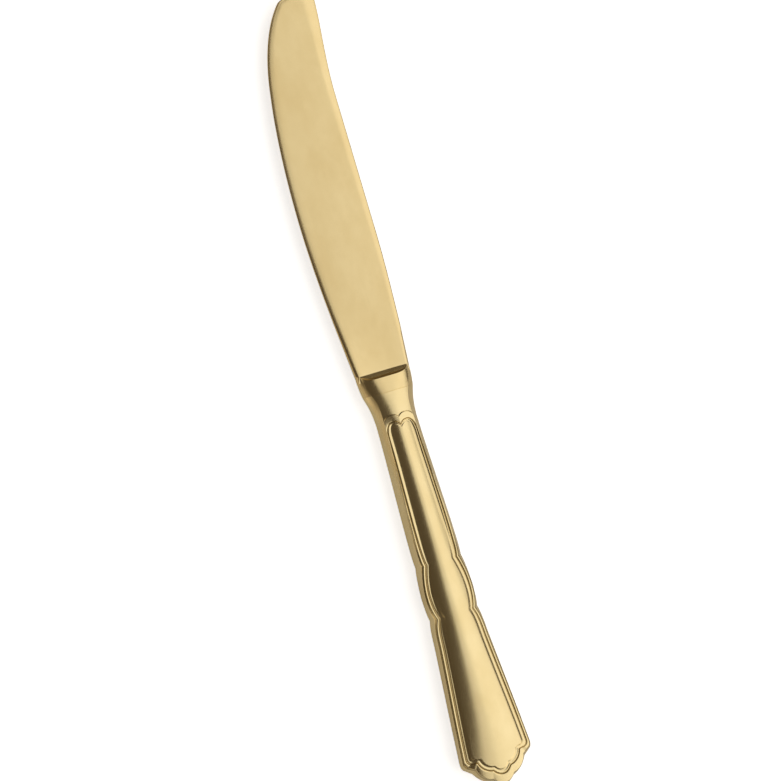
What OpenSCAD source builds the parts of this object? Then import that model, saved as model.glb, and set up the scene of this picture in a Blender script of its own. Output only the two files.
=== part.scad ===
// Table knife with a hollow handle: a forged blade, two stamped half shells and what joins them.
// The long axis lies along Y with the point at +Y. The cutting edge faces -X and the spine +X.
// The plane between the two shells is level, and the knife lies on the back shell's belly.
// Plan points are [x, s], where s runs from the handle's mouth towards the butt.
// Plan angles are 0 along that axis, 90 towards +X and -90 towards -X.

/* [Handle] */
// Length of the shells from the mouth to the butt
handle_len = 117.4; // [105:0.1:130]
// Width across the corners of the butt
butt_w = 22.2; // [19:0.1:25]
// Length of the scalloped end behind the corners
butt_drop = 8.5; // [7:0.1:10]
// Width of the handle at its narrowest, behind the neck
waist_w = 12.3; // [11:0.1:14]
// Width of the handle at its mouth
mouth_w = 15.5; // [14:0.1:17]
// Length of the plain neck between the mouth and the border
neck_len = 8.4; // [7:0.1:10]
// Width of the sloping side wall, seen from above, at the mouth
side_w = 2.1; // [1.6:0.05:2.4]
// Thickness of the handle at its fullest
belly_t = 8.4; // [7.6:0.1:9.4]
// Thickness of the stamped sheet
shell_wall = 0.9; // [0.7:0.05:1]

/* [Border] */
// Distance from the side of the handle to the rim's groove, at the flare
rim_w = 1.3; // [1.1:0.05:1.5]
// Distance from the rim's groove to the edge of the field
band_w = 1.65; // [1.3:0.05:1.9]
// Width of the lip between the side wall and the rim's groove
lip_w = 0.35; // [0.25:0.05:0.45]
// Height of the step from the neck up to the border
step_h = 0.14; // [0.05:0.01:0.2]
// Depth of the rim's groove
groove_depth = 0.42; // [0.2:0.01:0.5]
// Height of the bead beside the groove
bead_h = 0.16; // [0.05:0.01:0.25]
// Depth of the thread between the bead and the field
thread_depth = 0.26; // [0.1:0.01:0.35]

/* [Blade] */
// Length of the blade from its shoulder to its point
blade_len = 112; // [95:0.5:130]
// Width of the blade at its belly
blade_w = 21.2; // [19:0.1:24]
// Thickness of the spine at the shoulder
heel_t = 2.2; // [1.8:0.05:2.6]
// Thickness of the spine at the point
tip_t = 1.3; // [1:0.05:1.6]
// Thickness behind the cutting bevel at the shoulder
edge_t = 1.2; // [1:0.05:1.5]
// Width of the cutting bevel
bevel_w = 0.6; // [0.4:0.05:1]
// Thickness of the cutting edge itself
land_t = 0.16; // [0.1:0.01:0.25]
// Width of the eased corner along the spine
spine_ease = 0.25; // [0.1:0.05:0.4]

/* [Bolster] */
// Length of the bolster between the shoulder and the mouth
bolster_len = 5.6; // [4.5:0.1:7]
// Width of the bolster at the shoulder
shoulder_w = 16.6; // [15.5:0.1:18]
// Length of the cove that climbs from the blade to the bolster
cove_len = 1.7; // [1.2:0.1:2.2]
// Width of the chamfer on the heel's edge side
heel_chamfer = 1.5; // [1:0.1:2]
// Width of the chamfer on the heel's spine side
back_chamfer = 0.75; // [0.5:0.05:0.9]

/* [Inside] */
// Clearance between pieces that fit into each other
fit_gap = 0.12; // [0.08:0.01:0.2]
// Length of the spigot that plugs the mouth
spigot_len = 4; // [3:0.1:5]
// Length of the tang behind the spigot
tang_len = 58; // [45:0.5:70]
// Width of the tang
tang_w = 5.2; // [4:0.1:6]
// Thickness of the tang
tang_t = 2.6; // [2:0.1:3.2]
// Depth of the notches that key the tang into the filling
notch_depth = 0.8; // [0.4:0.1:1.2]
// Number of notches along each edge of the tang
notch_count = 4; // [2:1:6]
// Length of the ring of braze behind the spigot
ring_len = 1.2; // [0.8:0.1:1.6]
// Thickness of the ring of braze
ring_t = 0.7; // [0.5:0.05:0.9]
// Width of the bead of braze along the inner seam
seam_bead_w = 0.75; // [0.5:0.05:0.9]
// Height of the bead of braze along the inner seam
seam_bead_h = 0.5; // [0.3:0.05:0.6]

/* [Hidden] */

satin_gold = "#DBC18B";
braze_silver = "#C9C3B4";
cement_grey = "#8F8578";

butt_half = butt_w / 2;
waist_half = waist_w / 2;
mouth_half = mouth_w / 2;
shoulder_half = shoulder_w / 2;
belly_half = belly_t / 2;
blade_half = blade_w / 2;

// How far one solid runs into another that it is fused to
overrun = 0.5;

// Side of the handle in the neck: share of the neck's length, share of the way from waist to mouth
neck_side_shares = [[0, 1], [0.18, 0.72], [0.36, 0.475], [0.55, 0.29], [0.76, 0.16], [1, 0.075]];
// Inset of the neck's ridge, as a share of side_w
neck_ridge_shares = [[0, 1], [0.14, 1.06], [0.29, 1.08], [0.6, 1], [1, 0.86]];
// Heights over bolster and neck, as shares of belly_half; -1 is the shoulder and 1 the border
ridge_height_shares = [[-1, 0.24], [-0.6, 0.4], [0, 0.548], [0.29, 0.607], [1, 0.62]];
neck_crown_shares = [[-1, 0.65], [-0.7, 0.7], [0, 0.775], [0.5, 0.805], [1, 0.835]];
// How square the neck's top is
neck_power = 2;

// Heights along the handle, as shares of handle_len and of belly_half. The belly curves lengthwise too,
// so the knife lies on the front of the belly and on its point.
rim_height_shares = [[0.07, 0.62], [0.4, 0.62], [0.5, 0.51], [0.57, 0.476], [0.8, 0.452], [0.92, 0.36], [1, 0.31]];
crown_shares = [[0.07, 0.835], [0.14, 0.877], [0.22, 0.918], [0.3, 0.951], [0.4, 0.982], [0.5, 1], [0.6, 1],
    [0.75, 0.975], [0.85, 0.93], [0.92, 0.85], [0.95, 0.78], [0.975, 0.69], [1, 0.56]];
// Fall of the domed field from its crown to its nominal width, as a share of belly_half
dome_fall_shares = [[0.1, 0.2], [0.25, 0.236], [0.4, 0.262], [0.57, 0.286], [0.8, 0.262], [0.92, 0.226], [1, 0.2]];
// Nominal half width of the domed field, as a share of butt_half
dome_width_shares = [[0.1, 0.285], [0.25, 0.325], [0.39, 0.37], [0.5, 0.44], [0.6, 0.48], [0.8, 0.63],
    [0.92, 0.75], [1, 0.78]];

// The border's turning points, from the cusp at its top to the middle of the butt. The first three
// are shares of waist_half, measured from the neck's end.
top_groove_shares = [[0, 0.309], [0.341, 0.13], [0.772, 0.91]];
top_rim_shares = [[0, -0.081], [0.341, -0.228]];
// On the flanks: share of handle_len, and share of the way from waist_half to butt_half
flank_shares = [[0.4306, 0.19], [0.509, 0.364], [0.5639, 0.257], [0.643, 0.465]];
// Round the butt: share of butt_half, and share of butt_drop in front of the butt's end
butt_shares = [[0.995, 1.12], [0.95, 0.906], [0.748, 0.706], [0.306, 0.2], [0, 0]];
// Steps from the side of the handle in to the groove, as shares of rim_w
rim_step_shares = [[1.38, 0], [0.96, 0], [1.25, 0], [1, 0], [0.81, 0.46], [0.92, 0.54], [0.96, 1.31],
    [0.23, 1.77], [0, 1.65]];
// Steps from the groove out to the lip, as shares of lip_w
lip_step_shares = [[1, 0], [1, 0], [1, 0], [1, 0], [1, 0.3], [0.9, 0.9], [1.6, 2.6], [0.5, 3.9], [0, 3.9]];
// Steps from the groove in to the field, as shares of band_w
band_step_shares = [[0, -0.636], [0.12, -0.636], [0.97, -0.12], [1.02, 0], [0.94, 0.1], [1.01, 0],
    [1.03, 0], [1.03, 0.24], [0.82, 0.67], [0.47, 0.36], [0.36, 0.515], [0, 0.7]];

// Each stretch between two turning points: leaving angle, arriving angle, the reach of both
// handles as shares of the chord, and the number of steps
stretch_shares = [[142, 90, 0.45, 0.3, 4], [90, 0, 0.3, 0.5, 6], [0, -20, 0.33, 0.08, 10],
    [18, 0, 0.3, 0.35, 5], [0, -20, 0.4, 0.3, 4], [25, 5, 0.3, 0.35, 4], [5, 4, 0.33, 0.33, 7],
    [4, -50, 0.4, 0.4, 2], [-60, -62, 0.33, 0.33, 2], [-12, -85, 0.35, 0.35, 5], [-42, -90, 0.3, 0.45, 4]];
// How strongly the side of the handle follows the border's scallops
side_wave_share = 0.55;

// Cross-section of the border. Each row is a share of the way from the lip to the groove, a share
// of the way on from the groove to the field, and the height of the surface there.
border_profile_shares = [[0, 0, 0], [0.3, 0, step_h], [0.75, 0, step_h], [1, 0, -groove_depth],
    [1, 0.2, 0], [1, 0.38, bead_h], [1, 0.56, 0], [1, 0.67, -thread_depth], [1, 0.82, 0], [1, 1, 0]];
// Where the dome's rows lie between the field's edge and the middle
dome_row_shares = [0.12, 0.35, 0.65, 1];
inner_row_shares = [0.4, 1];

// Bulge of the side wall: place and height of its middle as shares of the wall
wall_middle_shares = [0.36, 0.46];
// Rows of the neck between the mouth and the border
neck_rows = 5;
// Turning points at which the border meets the side, and at which the butt begins
flank_point = len(top_rim_shares);
butt_point = flank_point + 1 + len(flank_shares);
// The inner skins' ridge lies in by this share of their depth
wall_knee_share = 0.6;
// Height at which the room along the seam ends, as a share of its width
relief_height_share = 0.45;
// Stretches that the spigot is cut into along its length
spigot_rows = 3;
// Facets of a whole circle in the tang's notches
notch_facets = 24;
// The blade's walls draw in at a sharp corner as if it turned no further than this cosine
least_corner_cos = 0.5;

function mix(a, b, t) = a + (b - a) * t;
function heading(a, b) = atan2(b.x - a.x, b.y - a.y);
function turned(angle) = [sin(angle), cos(angle)];
function unit(v) = v / norm(v);
function flat(lists) = [for (list = lists) for (item = list) item];
function sum_to(list, k) = k <= 0 ? 0 : list[k - 1] + sum_to(list, k - 1);

// Smooth curve through a table of [place, value] rows
function smooth(table, t) =
    let (last = len(table) - 1,
        k = max([0, for (i = [0:last - 1]) if (t >= table[i][0]) i]),
        a = table[k], b = table[k + 1], before = table[max(k - 1, 0)], after = table[min(k + 2, last)],
        span = b[0] - a[0],
        u = min(max((t - a[0]) / span, 0), 1),
        rise_a = span * (b[1] - before[1]) / (b[0] - before[0]),
        rise_b = span * (after[1] - a[1]) / (after[0] - a[0]))
    (2 * u ^ 3 - 3 * u ^ 2 + 1) * a[1] + (u ^ 3 - 2 * u ^ 2 + u) * rise_a
    + (3 * u ^ 2 - 2 * u ^ 3) * b[1] + (u ^ 3 - u ^ 2) * rise_b;

// One stretch of a curve from a to b without its last point. A wave below 1 pulls it towards its chord.
function stretch(a, b, shares, wave = 1) =
    let (chord = norm(b - a), way = heading(a, b),
        c = a + chord * shares[2] * turned(mix(way, shares[0], wave)),
        d = b - chord * shares[3] * turned(mix(way, shares[1], wave)))
    [for (k = [0:shares[4] - 1]) let (t = k / shares[4])
        (1 - t) ^ 3 * a + 3 * t * (1 - t) ^ 2 * c + 3 * t ^ 2 * (1 - t) * d + t ^ 3 * b];

// A whole curve through turning points, with one row of shares for each stretch
function run(points, rows, wave = 1) =
    concat(flat([for (k = [0:len(rows) - 1]) stretch(points[k], points[k + 1], rows[k], wave)]),
        [points[len(rows)]]);

// Surface pieces are [points, faces]. A grid of rows of points faces the side from which its rows
// run away and its columns run to the left. The last row's quads are cut the other way, because the
// rows of a dome end in a row and a column that lie on one line.
function grid(rows, flip = false) =
    let (wide = len(rows[0]), last = len(rows) - 2)
    [flat(rows), flat([for (r = [0:last]) for (c = [0:wide - 2])
        let (a = r * wide + c, b = a + wide,
            pair = r < last ? [[a, b, a + 1], [a + 1, b, b + 1]] : [[a, b, b + 1], [a, b + 1, a + 1]])
        flip ? [for (f = pair) [f[0], f[2], f[1]]] : pair])];
function turned_over(piece) = [piece[0], [for (f = piece[1]) [for (k = [len(f) - 1:-1:0]) f[k]]]];
function across(p) = p.x == 0 ? p : [-p.x, p.y, p.z];
function below(p) = p.z == 0 ? p : [p.x, p.y, -p.z];
function other_side(piece) = turned_over([[for (p = piece[0]) across(p)], piece[1]]);
function other_face(piece) = turned_over([[for (p = piece[0]) below(p)], piece[1]]);
function both_sides(pieces) = concat(pieces, [for (piece = pieces) other_side(piece)]);
function joined(pieces) =
    let (counts = [for (piece = pieces) len(piece[0])])
    [flat([for (piece = pieces) piece[0]]),
        flat([for (k = [0:len(pieces) - 1]) let (first = sum_to(counts, k))
            [for (f = pieces[k][1]) [for (i = f) i + first]]])];
function lid(loop) = [loop, [[for (k = [0:len(loop) - 1]) k]]];
// Closed tube through rings of points, with a lid on both ends
function loft(rings) =
    joined([grid([for (ring = rings) concat(ring, [ring[0]])]), lid(rings[0]), turned_over(lid(rings[len(rings) - 1]))]);

// Plan and heights of bolster and neck
function neck_place(s) = s < 0 ? s / bolster_len : s / neck_len;
function side_x(s) = s < 0
    ? mix(mouth_half, shoulder_half, 1 - (1 + s / bolster_len) ^ 2)
    : mix(waist_half, mouth_half, smooth(neck_side_shares, s / neck_len));
function ridge_inset(s, chamfer) = s < 0
    ? mix(side_w, chamfer, -s / bolster_len)
    : side_w * smooth(neck_ridge_shares, s / neck_len);
function ridge_x(s, chamfer = side_w) = side_x(s) - ridge_inset(s, chamfer);
function ridge_z(s) = belly_half * smooth(ridge_height_shares, neck_place(s));
function neck_z(share, s) =
    mix(ridge_z(s), belly_half * smooth(neck_crown_shares, neck_place(s)), 1 - abs(share) ^ neck_power);

// Heights of the handle
function rim_z(s) = belly_half * smooth(rim_height_shares, s / handle_len);
function crown_z(s) = belly_half * smooth(crown_shares, s / handle_len);
function dome_z(x, s) = crown_z(s) - belly_half * smooth(dome_fall_shares, s / handle_len)
    * (x / (butt_half * smooth(dome_width_shares, s / handle_len))) ^ 2;

// The four lines of the handle's plan, point for point
side_points = concat([for (f = flank_shares) [mix(waist_half, butt_half, f[1]), handle_len * f[0]]],
    [for (b = butt_shares) [butt_half * b[0], handle_len - butt_drop * b[1]]]);
groove_points = concat([for (g = top_groove_shares) [waist_half * g[0], neck_len + waist_half * g[1]]],
    [for (k = [0:len(side_points) - 1]) side_points[k] - rim_w * rim_step_shares[k]]);
rim_points = concat([for (g = top_rim_shares) [waist_half * g[0], neck_len + waist_half * g[1]]],
    [[ridge_x(neck_len), neck_len]],
    [for (k = [0:len(side_points) - 1]) groove_points[k + 3] + lip_w * lip_step_shares[k]]);
field_points = [for (k = [0:len(groove_points) - 1]) groove_points[k] - band_w * band_step_shares[k]];

stretch_steps = [for (row = stretch_shares) row[4]];
flank_row = sum_to(stretch_steps, flank_point);
butt_row = sum_to(stretch_steps, butt_point);
last_row = sum_to(stretch_steps, len(stretch_steps));

groove_line = run(groove_points, stretch_shares);
rim_line = run(rim_points, stretch_shares);
field_line = run(field_points, stretch_shares);
side_line = run(concat([[side_x(neck_len), neck_len]], side_points),
    [for (k = [flank_point:len(stretch_shares) - 1]) stretch_shares[k]], side_wave_share);

// Where each row of the dome meets the middle
function middle_s(i) = i < flank_row
    ? mix(field_line[0].y + lip_w, field_line[flank_row].y, i / flank_row)
    : i > butt_row
    ? mix(field_line[butt_row].y, field_line[last_row].y - lip_w, (i - butt_row) / (last_row - butt_row))
    : field_line[i].y;

// Shares of the ridge's width at which the rows of the neck's top lie
neck_shares = [for (i = [0:flank_row]) rim_line[i].x / ridge_x(rim_line[i].y)];
function rim_height(i) = i > flank_row ? rim_z(rim_line[i].y) : neck_z(neck_shares[i], rim_line[i].y);
function field_height(i) = dome_z(field_line[i].x, field_line[i].y);

function at(plan, z) = [plan.x, -plan.y, z];
function wall(foot, top) =
    [foot, [mix(foot.x, top.x, wall_middle_shares[0]), mix(foot.y, top.y, wall_middle_shares[0]),
        mix(foot.z, top.z, wall_middle_shares[1])], top];

// Outer skin of one shell, right half
neck_stations = [for (k = [0:neck_rows - 1]) neck_len * k / neck_rows];
outer_wall = concat(
    [for (s = neck_stations) wall(at([side_x(s), s], 0), at([ridge_x(s), s], ridge_z(s)))],
    [for (i = [flank_row:last_row])
        wall(at(side_line[i - flank_row], 0), at(rim_line[i], rim_height(i)))]);
outer_neck = [for (k = [0:neck_rows]) [for (i = [flank_row:-1:0])
    let (s = rim_line[i].y * k / neck_rows)
    at(k == neck_rows ? rim_line[i] : [neck_shares[i] * ridge_x(s), s], neck_z(neck_shares[i], s))]];
outer_field = [for (i = [0:last_row]) let (low = rim_height(i), high = field_height(i),
        out = norm(rim_line[i] - groove_line[i]), over = norm(groove_line[i] - field_line[i]),
        middle = [0, middle_s(i)])
    concat(
        [for (row = border_profile_shares) let (
                plan = row[1] > 0 ? mix(groove_line[i], field_line[i], row[1]) : mix(rim_line[i], groove_line[i], row[0]),
                way = (out * row[0] + over * row[1]) / (out + over))
            at(plan, mix(low, high, way) + row[2])],
        [for (t = dome_row_shares) let (plan = mix(field_line[i], middle, t)) at(plan, dome_z(plan.x, plan.y))])];

// A plain skin inside the outer one, right half, at a depth below it. A relief leaves room along the seam.
function inner_foot(i, depth) =
    side_line[i - flank_row] + depth * unit(rim_line[i] - side_line[i - flank_row]);
function inner_wall(depth, relief) =
    let (foot = depth + relief, knee = wall_knee_share * foot)
    concat([for (s = neck_stations)
            inner_side(at([side_x(s) - foot, s], 0), at([ridge_x(s) - knee, s], ridge_z(s) - depth), relief)],
        [for (i = [flank_row:last_row])
            inner_side(at(inner_foot(i, foot), 0), inner_knee(i, depth, knee), relief)]);
function inner_side(foot, top, relief) = relief == 0 ? wall(foot, top)
    : [foot, foot + [0, 0, relief_height_share * relief], top];
function inner_knee(i, depth, knee) = i <= flank_row
    ? at([neck_shares[i] * (ridge_x(rim_line[i].y) - knee), rim_line[i].y], rim_height(i) - depth)
    : at(rim_line[i] + knee * unit(field_line[i] - rim_line[i]), rim_height(i) - depth);
function inner_neck(depth, knee) = [for (k = [0:neck_rows]) [for (i = [flank_row:-1:0])
    let (s = rim_line[i].y * k / neck_rows)
    at([neck_shares[i] * (ridge_x(s) - knee), s], neck_z(neck_shares[i], s) - depth)]];
function inner_field(depth, knee) = [for (i = [0:last_row])
    concat([inner_knee(i, depth, knee), at(field_line[i], field_height(i) - depth)],
        [for (t = inner_row_shares) let (plan = mix(field_line[i], [0, middle_s(i)], t))
            at(plan, dome_z(plan.x, plan.y) - depth)])];
function inner_pieces(depth, relief = 0) =
    let (knee = wall_knee_share * (depth + relief))
    [inner_wall(depth, relief), inner_neck(depth, knee), inner_field(depth, knee)];

// From the seam over the ridge to the middle of the mouth
function mouth_edge(pieces) = concat(pieces[0][0], [for (k = [1:flank_row]) pieces[1][0][k]]);

function shell() =
    let (inner = inner_pieces(shell_wall), outer_mouth = mouth_edge([outer_wall, outer_neck]),
        inner_mouth = mouth_edge(inner))
    joined(both_sides([grid(outer_wall), grid(outer_neck), grid(outer_field),
        grid(inner[0], true), grid(inner[1], true), grid(inner[2], true),
        grid([for (r = [0:len(outer_wall) - 1]) [inner[0][r][0], outer_wall[r][0]]]),
        grid([for (k = [0:len(outer_mouth) - 1]) [outer_mouth[k], inner_mouth[k]]])]));

// Solid that fits into the closed pair of shells
function core(depth, relief) =
    let (pieces = inner_pieces(depth, relief),
        half = both_sides([for (piece = pieces) grid(piece)]),
        edge = mouth_edge(pieces),
        top = concat(edge, [for (k = [len(edge) - 2:-1:0]) across(edge[k])]))
    joined(concat(half, [for (piece = half) other_face(piece)],
        [lid(concat(top, [for (k = [len(top) - 2:-1:1]) below(top[k])]))]));

// Points are rounded to one fine grain, so that surfaces which share an edge agree on it
grain = 0.0001;
module solid(piece)
    polyhedron(points = [for (p = piece[0]) [for (c = p) grain * round(c / grain)]], faces = piece[1], convexity = 6);

// Ring of the neck's cross-section at one place, inset from the outside
ring_shares = [1, 0.93, 0.8, 0.6, 0.35, 0];
function neck_ring(s, inset) =
    let (knee = wall_knee_share * inset,
        edge = quarter(at([side_x(s) - inset, s], 0),
            function(share) at([share * (ridge_x(s) - knee), s], neck_z(share, s) - inset)))
    closed_ring(edge, [for (p = edge) across(p)]);
function closed_ring(right, left) =
    let (top = concat(right, [for (k = [len(left) - 2:-1:0]) left[k]]))
    concat(top, [for (k = [len(top) - 2:-1:1]) below(top[k])]);

// The blade's flat face, as a height over the middle plane
blade_fall = (heel_t - tip_t) / 2 / blade_len;
blade_wedge = (heel_t - edge_t) / 2 / blade_w;
spine_share = 0.953;
spine_x = blade_half * spine_share;
function flat_z(x, s) = heel_t / 2 + blade_fall * (s + bolster_len) - blade_wedge * (spine_x - x);

// Outline of the blade: share of blade_half, share of blade_len, and the shares of the stretch to
// the next point as for the border
outline_shares = [
    [-0.783, 0, [-5.6, -5.2, 0.33, 0.33, 3]],
    [-0.878, 0.099, [-5.2, 0, 0.3, 0.33, 6]],
    [-1.047, 0.414, [0, 9.5, 0.37, 0.27, 6]],
    [-0.799, 0.752, [7.7, 65.4, 0.315, 0.276, 10]],
    [0.283, 0.979, [66, 88, 0.4, 0.28, 3]],
    [0.981, 1, [90, 183, 0.38, 0.45, 5]],
    [1.165, 0.97, [183, 180, 0.27, 0.39, 6]],
    [spine_share, 0.718, [180, 180, 0.33, 0.33, 1]],
    [spine_share, 0.352, [180, 183, 0.33, 0.33, 4]],
    [0.862, 0.099, [183.5, 184, 0.33, 0.33, 2]]];
heel_end_share = 0.788;

// Blade plan points are [x, y], where y runs from the shoulder to the point
outline_points = concat([for (row = outline_shares) [blade_half * row[0], blade_len * row[1]]],
    [[blade_half * heel_end_share, 0]]);
outline = run(outline_points, [for (row = outline_shares) row[2]]);
root_depth = bolster_len / 3;
root = [[blade_half * heel_end_share - overrun, -root_depth], [-blade_half * heel_end_share + overrun, -root_depth]];
blade_plan = concat(outline, root);

// Half height of the block that both flat faces are cut from, and how far the plan has drawn in there
block_z = heel_t / 2 + overrun;
function drawn_in(width, height) = width * (block_z - land_t / 2) / (height - land_t / 2);
heel_draw = drawn_in(heel_chamfer, edge_t / 2);
bevel_draw = drawn_in(bevel_w, edge_t / 2);
back_draw = drawn_in(back_chamfer, heel_t / 2);
spine_draw = drawn_in(spine_ease, heel_t / 2);
draws = [heel_draw, bevel_draw, bevel_draw, bevel_draw, bevel_draw, spine_draw, spine_draw, spine_draw,
    spine_draw, spine_draw, back_draw];
plan_draws = concat(flat([for (k = [0:len(outline_shares) - 1]) let (steps = outline_shares[k][2][4])
        [for (j = [0:steps - 1]) mix(draws[k], draws[k + 1], j / steps)]]),
    [back_draw, back_draw, heel_draw]);
function blade_normal(k) =
    let (count = len(blade_plan), before = blade_plan[(k + count - 1) % count], here = blade_plan[k],
        after = blade_plan[(k + 1) % count], a = unit(here - before), b = unit(after - here), way = unit(a + b))
    [way.y, -way.x] / max(way * a, least_corner_cos);
function blade_ring(z, share) = [for (k = [0:len(blade_plan) - 1])
    let (p = blade_plan[k] + share * plan_draws[k] * (k < len(outline) ? blade_normal(k) : [0, 0]))
    [p.x, p.y, z]];
// The plan's points run clockwise seen from above
blade_block = loft([blade_ring(block_z, 1), blade_ring(land_t / 2, 0), blade_ring(-land_t / 2, 0),
    blade_ring(-block_z, 1)]);

// Everything below one flat face of the blade
module under_flat() {
    reach = blade_len + blade_w;
    translate([spine_x, 0, heel_t / 2])
        rotate([-atan(blade_fall), -atan(blade_wedge), 0])
            translate([-reach, -reach, -reach])
                cube([2 * reach, 2 * reach, reach]);
}

module blade_plate() {
    intersection() {
        solid(blade_block);
        under_flat();
        mirror([0, 0, 1]) under_flat();
    }
}

// Rings of the bolster. The cove starts inside the blade and climbs to the bolster's top, whose
// front edge curves forward to the shoulder at both sides.
cove_power = 6;
cove_least_share = 0.15;
// Share of the cove behind the shoulder, and share of its climb
cove_row_shares = [[0.18, 0.12], [0.62, 0.45], [1, 1]];
bolster_row_shares = [0.35, 0.7];
function front_share(share) = mix(1, cove_least_share, abs(share) ^ cove_power);
// One quarter of a ring, from the side over the ridge to the middle
function quarter(foot, top_at) =
    concat(wall(foot, top_at(1)), [for (k = [1:len(ring_shares) - 1]) top_at(ring_shares[k])]);
function bolster_quarter(chamfer, side, t) = quarter(
    at([side * side_x(mix(cove_end(1), 0, t)), mix(cove_end(1), 0, t)], 0),
    function(share) let (s = mix(cove_end(share), 0, t))
        at([side * share * ridge_x(s, chamfer), s], neck_z(share, s)));
function cove_end(share) = -bolster_len + cove_len * front_share(share);
function cove_quarter(chamfer, side, row) = quarter(
    at([side * side_x(mix(-bolster_len, cove_end(1), row[0])), mix(-bolster_len, cove_end(1), row[0])], 0),
    function(share) let (s = mix(-bolster_len, cove_end(share), row[0]), x = side * share * ridge_x(s, chamfer))
        at([x, s], mix(flat_z(x, -bolster_len), neck_z(share, s), row[1])));
function buried_quarter(chamfer, side) = quarter(
    at([side * (shoulder_half - overrun / 2), -bolster_len - overrun], 0),
    function(share) let (s = -bolster_len - overrun, x = side * share * (ridge_x(-bolster_len, chamfer) - overrun))
        at([x, s], flat_z(x, s) - overrun / 2));
function both_quarters(maker) = closed_ring(maker(back_chamfer, 1), maker(heel_chamfer, -1));
bolster_rings = concat(
    [both_quarters(function(chamfer, side) buried_quarter(chamfer, side))],
    [for (row = cove_row_shares) both_quarters(function(chamfer, side) cove_quarter(chamfer, side, row))],
    [for (t = concat(bolster_row_shares, [1]))
        both_quarters(function(chamfer, side) bolster_quarter(chamfer, side, t))]);

// Tang: a flat bar with notches along both edges
tang_start = spigot_len - overrun;
notch_pitch = tang_len / (notch_count + 1);
module tang_plan(grow) {
    difference() {
        translate([-tang_w / 2 - grow, -tang_start - overrun - tang_len - grow])
            square([tang_w + 2 * grow, tang_len + overrun + 2 * grow]);
        for (side = [-1, 1], k = [1:notch_count])
            translate([side * (tang_w / 2 + grow), -spigot_len - notch_pitch * k])
                circle(r = notch_depth, $fn = notch_facets);
    }
}
module tang(grow = 0) {
    translate([0, 0, -tang_t / 2 - grow])
        linear_extrude(tang_t + 2 * grow) tang_plan(grow);
}

// The seam's bead of braze, right half, as rows of its cross-section
bead_start = flank_row + 2;
bead_tip = shell_wall + fit_gap;
seam_bead = [for (i = [bead_start:last_row]) let (tip = inner_foot(i, bead_tip),
        back = inner_foot(i, bead_tip + seam_bead_w))
    [at(tip, 0), at(back, seam_bead_h / 2), at(back, -seam_bead_h / 2)]];

// Middle of the knife's box, on the surface that it lies on
left_x = min(-butt_half, min([for (p = outline) p.x]));
right_x = max(butt_half, max([for (p = outline) p.x]));
front_y = bolster_len + max([for (p = outline) p.y]);
lift = max([for (i = [0:last_row]) crown_z(middle_s(i))]);
module placed() {
    translate([-(left_x + right_x) / 2, (handle_len - front_y) / 2, lift]) children();
}

module blade() {
    color(satin_gold) placed() {
        translate([0, bolster_len, 0]) blade_plate();
        solid(loft(concat(bolster_rings,
            [for (k = [0:spigot_rows]) neck_ring(spigot_len * k / spigot_rows, shell_wall + fit_gap)])));
        tang();
    }
}

module front_shell() {
    color(satin_gold) placed() solid(shell());
}

module back_shell() {
    color(satin_gold) placed() mirror([0, 0, 1]) solid(shell());
}

module seam_braze() {
    left = [for (k = [len(seam_bead) - 2:-1:0]) [for (p = seam_bead[k]) across(p)]];
    color(braze_silver) placed() solid(loft(concat(seam_bead, left)));
}

// Slab of the handle between two places behind the mouth
module slab(from, to) {
    translate([-butt_w, -to, -belly_t]) cube([2 * butt_w, to - from, 2 * belly_t]);
}

module neck_braze() {
    inset = shell_wall + fit_gap;
    start = spigot_len + fit_gap;
    rows = [start, start + ring_len / 2, start + ring_len];
    color(braze_silver) placed() difference() {
        solid(loft([for (s = rows) neck_ring(s, inset)]));
        solid(loft([for (s = [start - overrun, start + ring_len + overrun]) neck_ring(s, inset + ring_t)]));
    }
}

module handle_filling() {
    start = spigot_len + ring_len + 2 * fit_gap;
    color(cement_grey) placed() difference() {
        solid(core(shell_wall + fit_gap, seam_bead_w + fit_gap));
        slab(-overrun, start);
        tang(fit_gap);
    }
}

blade();
front_shell();
back_shell();
seam_braze();
neck_braze();
handle_filling();
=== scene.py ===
"""Table knife with a hollow handle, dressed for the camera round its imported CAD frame.

The long axis lies along Y with the point at +Y. The cutting edge faces -X and the spine +X, and the
plane between the two shells is level. Forms are worked out in millimetres in the handle's own plan:
x across the knife and s from the mouth of the handle towards the butt, so s is negative on the
blade. The section of blade and shells changes all along them, which extrude, inset, bevel and spin
can't give. Their grids are laid on lofted curves instead, then welded, mirrored and fused.
"""

from __future__ import annotations

import logging
import math
from collections.abc import Callable, Iterator, Sequence
from contextlib import contextmanager
from dataclasses import dataclass, field
from enum import Enum, IntEnum
from functools import partial

import bpy
import numpy as np
from bpy.types import Material, NodeSocket, NodeTree, Object
from mathutils import Matrix, Vector
from mathutils.kdtree import KDTree


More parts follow.
